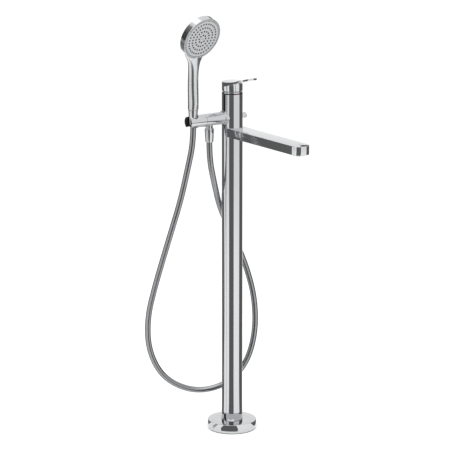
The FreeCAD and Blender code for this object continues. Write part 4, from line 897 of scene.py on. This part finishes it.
@dataclass
class Studio:
    """Camera, floor, light, and the grey screens that polished metal mirrors."""

    azimuth: float = -35.61
    elevation: float = 13.577
    distance: float = 6.0547
    lens: float = 195.38
    sensor: float = 36.0
    far_clip: float = 100.0
    target: tuple[float, float, float] = (-0.0186, 0.0, 0.5236)
    floor_radius: float = 14.0
    floor_steps: int = 96
    floor_grey: float = 0.85
    # how much the floor and the room add to what the camera and mirrors see
    floor_glow: float = 0.26
    room_light: float = 0.9
    room_seen: float = 1.0
    lamp_size: float = 4.0
    lamp_power: float = 45.0
    lamp_place: tuple[float, float, float] = (-0.8, -0.6, 3.4)
    lamp_aim: tuple[float, float, float] = (0.0, 0.0, 0.5)
    screen_radius: float = 3.7
    screen_top: float = 1.3
    strip_steps: int = 24
    # from and to, in degrees from the camera's side to its right, and the grey of each screen
    screens: tuple[tuple[float, float, float], ...] = (
        (-33.0, 17.0, 0.15),
        (84.0, 150.0, 0.14),
        (-146.0, -98.0, 0.14),
        (-65.5, -62.0, 0.45),
    )
    # distance of the nearest louvre, growth from one to the next, and height over distance
    louvre_start: float = 0.075
    louvre_growth: float = 1.12
    louvre_slope: float = 0.05
    louvre_foot: float = 0.008
    # from and to in degrees, and lower and upper edge in metres, of each black card
    cards: tuple[tuple[float, float, float, float], ...] = (
        (-106.0, -74.0, 0.66, 5.4),
        (162.0, 173.0, 1.28, 1.85),
    )
    card_radius: float = 2.0
    card_grey: float = 0.03

    def build(self) -> None:
        """Sets the whole studio up."""
        self.camera()
        self.floor()
        self.room()
        self.lamp()
        for number, (start, end, grey) in enumerate(self.screens):
            self.screen(number, start, end, grey)
        for number, (start, end, low, high) in enumerate(self.cards):
            row = (self.card_radius, low, high)
            self.stand(f"card_{number}", start, end, [row], self.card_grey)

    def camera(self) -> None:
        """Puts the camera at the photograph's angle."""
        turn, rise = math.radians(self.azimuth), math.radians(self.elevation)
        level = math.cos(rise)
        back = Vector((math.sin(turn) * level, -math.cos(turn) * level, math.sin(rise)))
        data = bpy.data.cameras.new("camera")
        data.lens = self.lens
        data.sensor_width = self.sensor
        data.clip_end = self.far_clip
        camera = bpy.data.objects.new("camera", data)
        bpy.context.scene.collection.objects.link(camera)
        camera.location = Vector(self.target) + back * self.distance
        camera.rotation_euler = (-back).to_track_quat("-Z", "Y").to_euler()
        bpy.context.scene.camera = camera

    def floor(self) -> None:
        """Lays a white floor that keeps the shadow."""
        bm = bmesh.new()
        bmesh.ops.create_circle(
            bm, cap_ends=True, radius=self.floor_radius, segments=self.floor_steps
        )
        mesh = bpy.data.meshes.new("floor")
        bm.to_mesh(mesh)
        bm.free()
        floor = bpy.data.objects.new("floor", mesh)
        bpy.context.scene.collection.objects.link(floor)
        mesh.materials.append(self.floor_material())

    def floor_material(self) -> bpy.types.Material:
        """White to the camera and in mirrors, apart from the shadow.

        Returns:
            The floor's material.
        """
        material = bpy.data.materials.new("studio_floor")
        material.use_nodes = True
        tree = material.node_tree
        tree.nodes.clear()
        output = tree.nodes.new("ShaderNodeOutputMaterial")
        white = tree.nodes.new("ShaderNodeBsdfDiffuse")
        white.inputs["Color"].default_value = (*[self.floor_grey] * 3, 1)
        glow = tree.nodes.new("ShaderNodeEmission")
        both = tree.nodes.new("ShaderNodeAddShader")
        path = tree.nodes.new("ShaderNodeLightPath")
        seen = tree.nodes.new("ShaderNodeMath")
        seen.operation = "MAXIMUM"
        mixed = tree.nodes.new("ShaderNodeMath")
        mixed.operation = "MULTIPLY"
        mixed.inputs[1].default_value = self.floor_glow
        tree.links.new(path.outputs["Is Camera Ray"], seen.inputs[0])
        tree.links.new(path.outputs["Is Glossy Ray"], seen.inputs[1])
        tree.links.new(seen.outputs[0], mixed.inputs[0])
        tree.links.new(mixed.outputs[0], glow.inputs["Strength"])
        tree.links.new(white.outputs[0], both.inputs[0])
        tree.links.new(glow.outputs[0], both.inputs[1])
        tree.links.new(both.outputs[0], output.inputs["Surface"])
        return material

    def room(self) -> None:
        """Gives an even white room, which the camera and mirrors see as plain white."""
        world = bpy.data.worlds.new("room")
        bpy.context.scene.world = world
        world.use_nodes = True
        tree = world.node_tree
        background = tree.nodes["Background"]
        background.inputs["Color"].default_value = (1, 1, 1, 1)
        path = tree.nodes.new("ShaderNodeLightPath")
        first = tree.nodes.new("ShaderNodeMath")
        first.operation = "MAXIMUM"
        second = tree.nodes.new("ShaderNodeMath")
        second.operation = "MAXIMUM"
        strength = tree.nodes.new("ShaderNodeMapRange")
        strength.inputs["To Min"].default_value = self.room_light
        strength.inputs["To Max"].default_value = self.room_seen
        tree.links.new(path.outputs["Is Camera Ray"], first.inputs[0])
        tree.links.new(path.outputs["Is Glossy Ray"], first.inputs[1])
        tree.links.new(first.outputs[0], second.inputs[0])
        tree.links.new(path.outputs["Is Transmission Ray"], second.inputs[1])
        tree.links.new(second.outputs[0], strength.inputs["Value"])
        tree.links.new(strength.outputs[0], background.inputs["Strength"])
        bpy.context.scene.view_settings.view_transform = "Standard"

    def lamp(self) -> None:
        """Hangs one broad soft lamp overhead."""
        data = bpy.data.lights.new("softbox", "AREA")
        data.shape = "RECTANGLE"
        data.size = self.lamp_size
        data.size_y = self.lamp_size
        data.energy = self.lamp_power
        lamp = bpy.data.objects.new("softbox", data)
        bpy.context.scene.collection.objects.link(lamp)
        lamp.location = self.lamp_place
        aim = Vector(self.lamp_aim) - lamp.location
        lamp.rotation_euler = aim.to_track_quat("-Z", "Y").to_euler()

    def screen(self, number: int, start: float, end: float, grey: float) -> None:
        """Stands one grey screen up, with low louvres on the floor before it.

        A mirror that stands upright sees the louvres as one grey field, and a surface that
        looks steeply down sees the white floor between them.

        Args:
            number: Which screen it is.
            start: Where it starts, in degrees to the camera's right.
            end: Where it ends.
            grey: How bright it looks in a mirror.
        """
        rows = [(self.screen_radius, 0.0, self.screen_top)]
        radius = self.louvre_start
        while radius < self.screen_radius:
            rows.append((radius, 0.0, self.louvre_foot + radius * self.louvre_slope))
            radius *= self.louvre_growth
        self.stand(f"screen_{number}", start, end, rows, grey)

    def stand(
        self,
        name: str,
        start: float,
        end: float,
        rows: list[tuple[float, float, float]],
        grey: float,
    ) -> None:
        """Bends upright strips round the filler, which only mirrors see.

        Args:
            name: The piece's name.
            start: Where the strips start, in degrees to the camera's right.
            end: Where they end.
            rows: The radius, lower edge and upper edge of each strip in metres.
            grey: How bright they look in a mirror.
        """
        bm = bmesh.new()
        facing = math.radians(self.azimuth + FRONT + start)
        for radius, low, high in rows:
            foot = Vector((math.cos(facing) * radius, math.sin(facing) * radius, low))
            ends = [bm.verts.new(foot), bm.verts.new(foot + Vector((0, 0, high - low)))]
            bm.edges.new(ends)
        bmesh.ops.spin(
            bm,
            geom=bm.verts[:] + bm.edges[:],
            cent=(0, 0, 0),
            axis=(0, 0, 1),
            angle=math.radians(end - start),
            steps=self.strip_steps,
        )
        mesh = bpy.data.meshes.new(name)
        bm.to_mesh(mesh)
        bm.free()
        strips = bpy.data.objects.new(name, mesh)
        bpy.context.scene.collection.objects.link(strips)
        material = bpy.data.materials.new(name)
        material.use_nodes = True
        tree = material.node_tree
        tree.nodes.clear()
        glow = tree.nodes.new("ShaderNodeEmission")
        glow.inputs["Color"].default_value = (grey, grey, grey, 1)
        output = tree.nodes.new("ShaderNodeOutputMaterial")
        tree.links.new(glow.outputs[0], output.inputs["Surface"])
        mesh.materials.append(material)
        for kind in ("camera", "diffuse", "shadow", "transmission"):
            setattr(strips, f"visible_{kind}", False)


def dress_frame() -> None:
    """Gives every CAD node the finish of its material slot."""
    slots = {entry["node"]: entry["material_slot"] for entry in frame["record"]["subparts"]}
    for node, piece in frame["nodes"].items():
        piece.data.materials.clear()
        piece.data.materials.append(SLOT_FINISHES[slots[node]].material())


def main() -> None:
    """Builds the studio, dresses the CAD nodes and builds the hose and every sub-assembly."""
    logging.basicConfig(level=logging.INFO, format="%(name)s: %(message)s")
    Studio().build()
    dress_frame()
    ShowerHose().build()
    for assembly in (FloorFixing(), Column(), Spout(), Arm(), Diverter(), Lever(), Handset()):
        assembly.build()


if __name__ == "__main__":
    main()
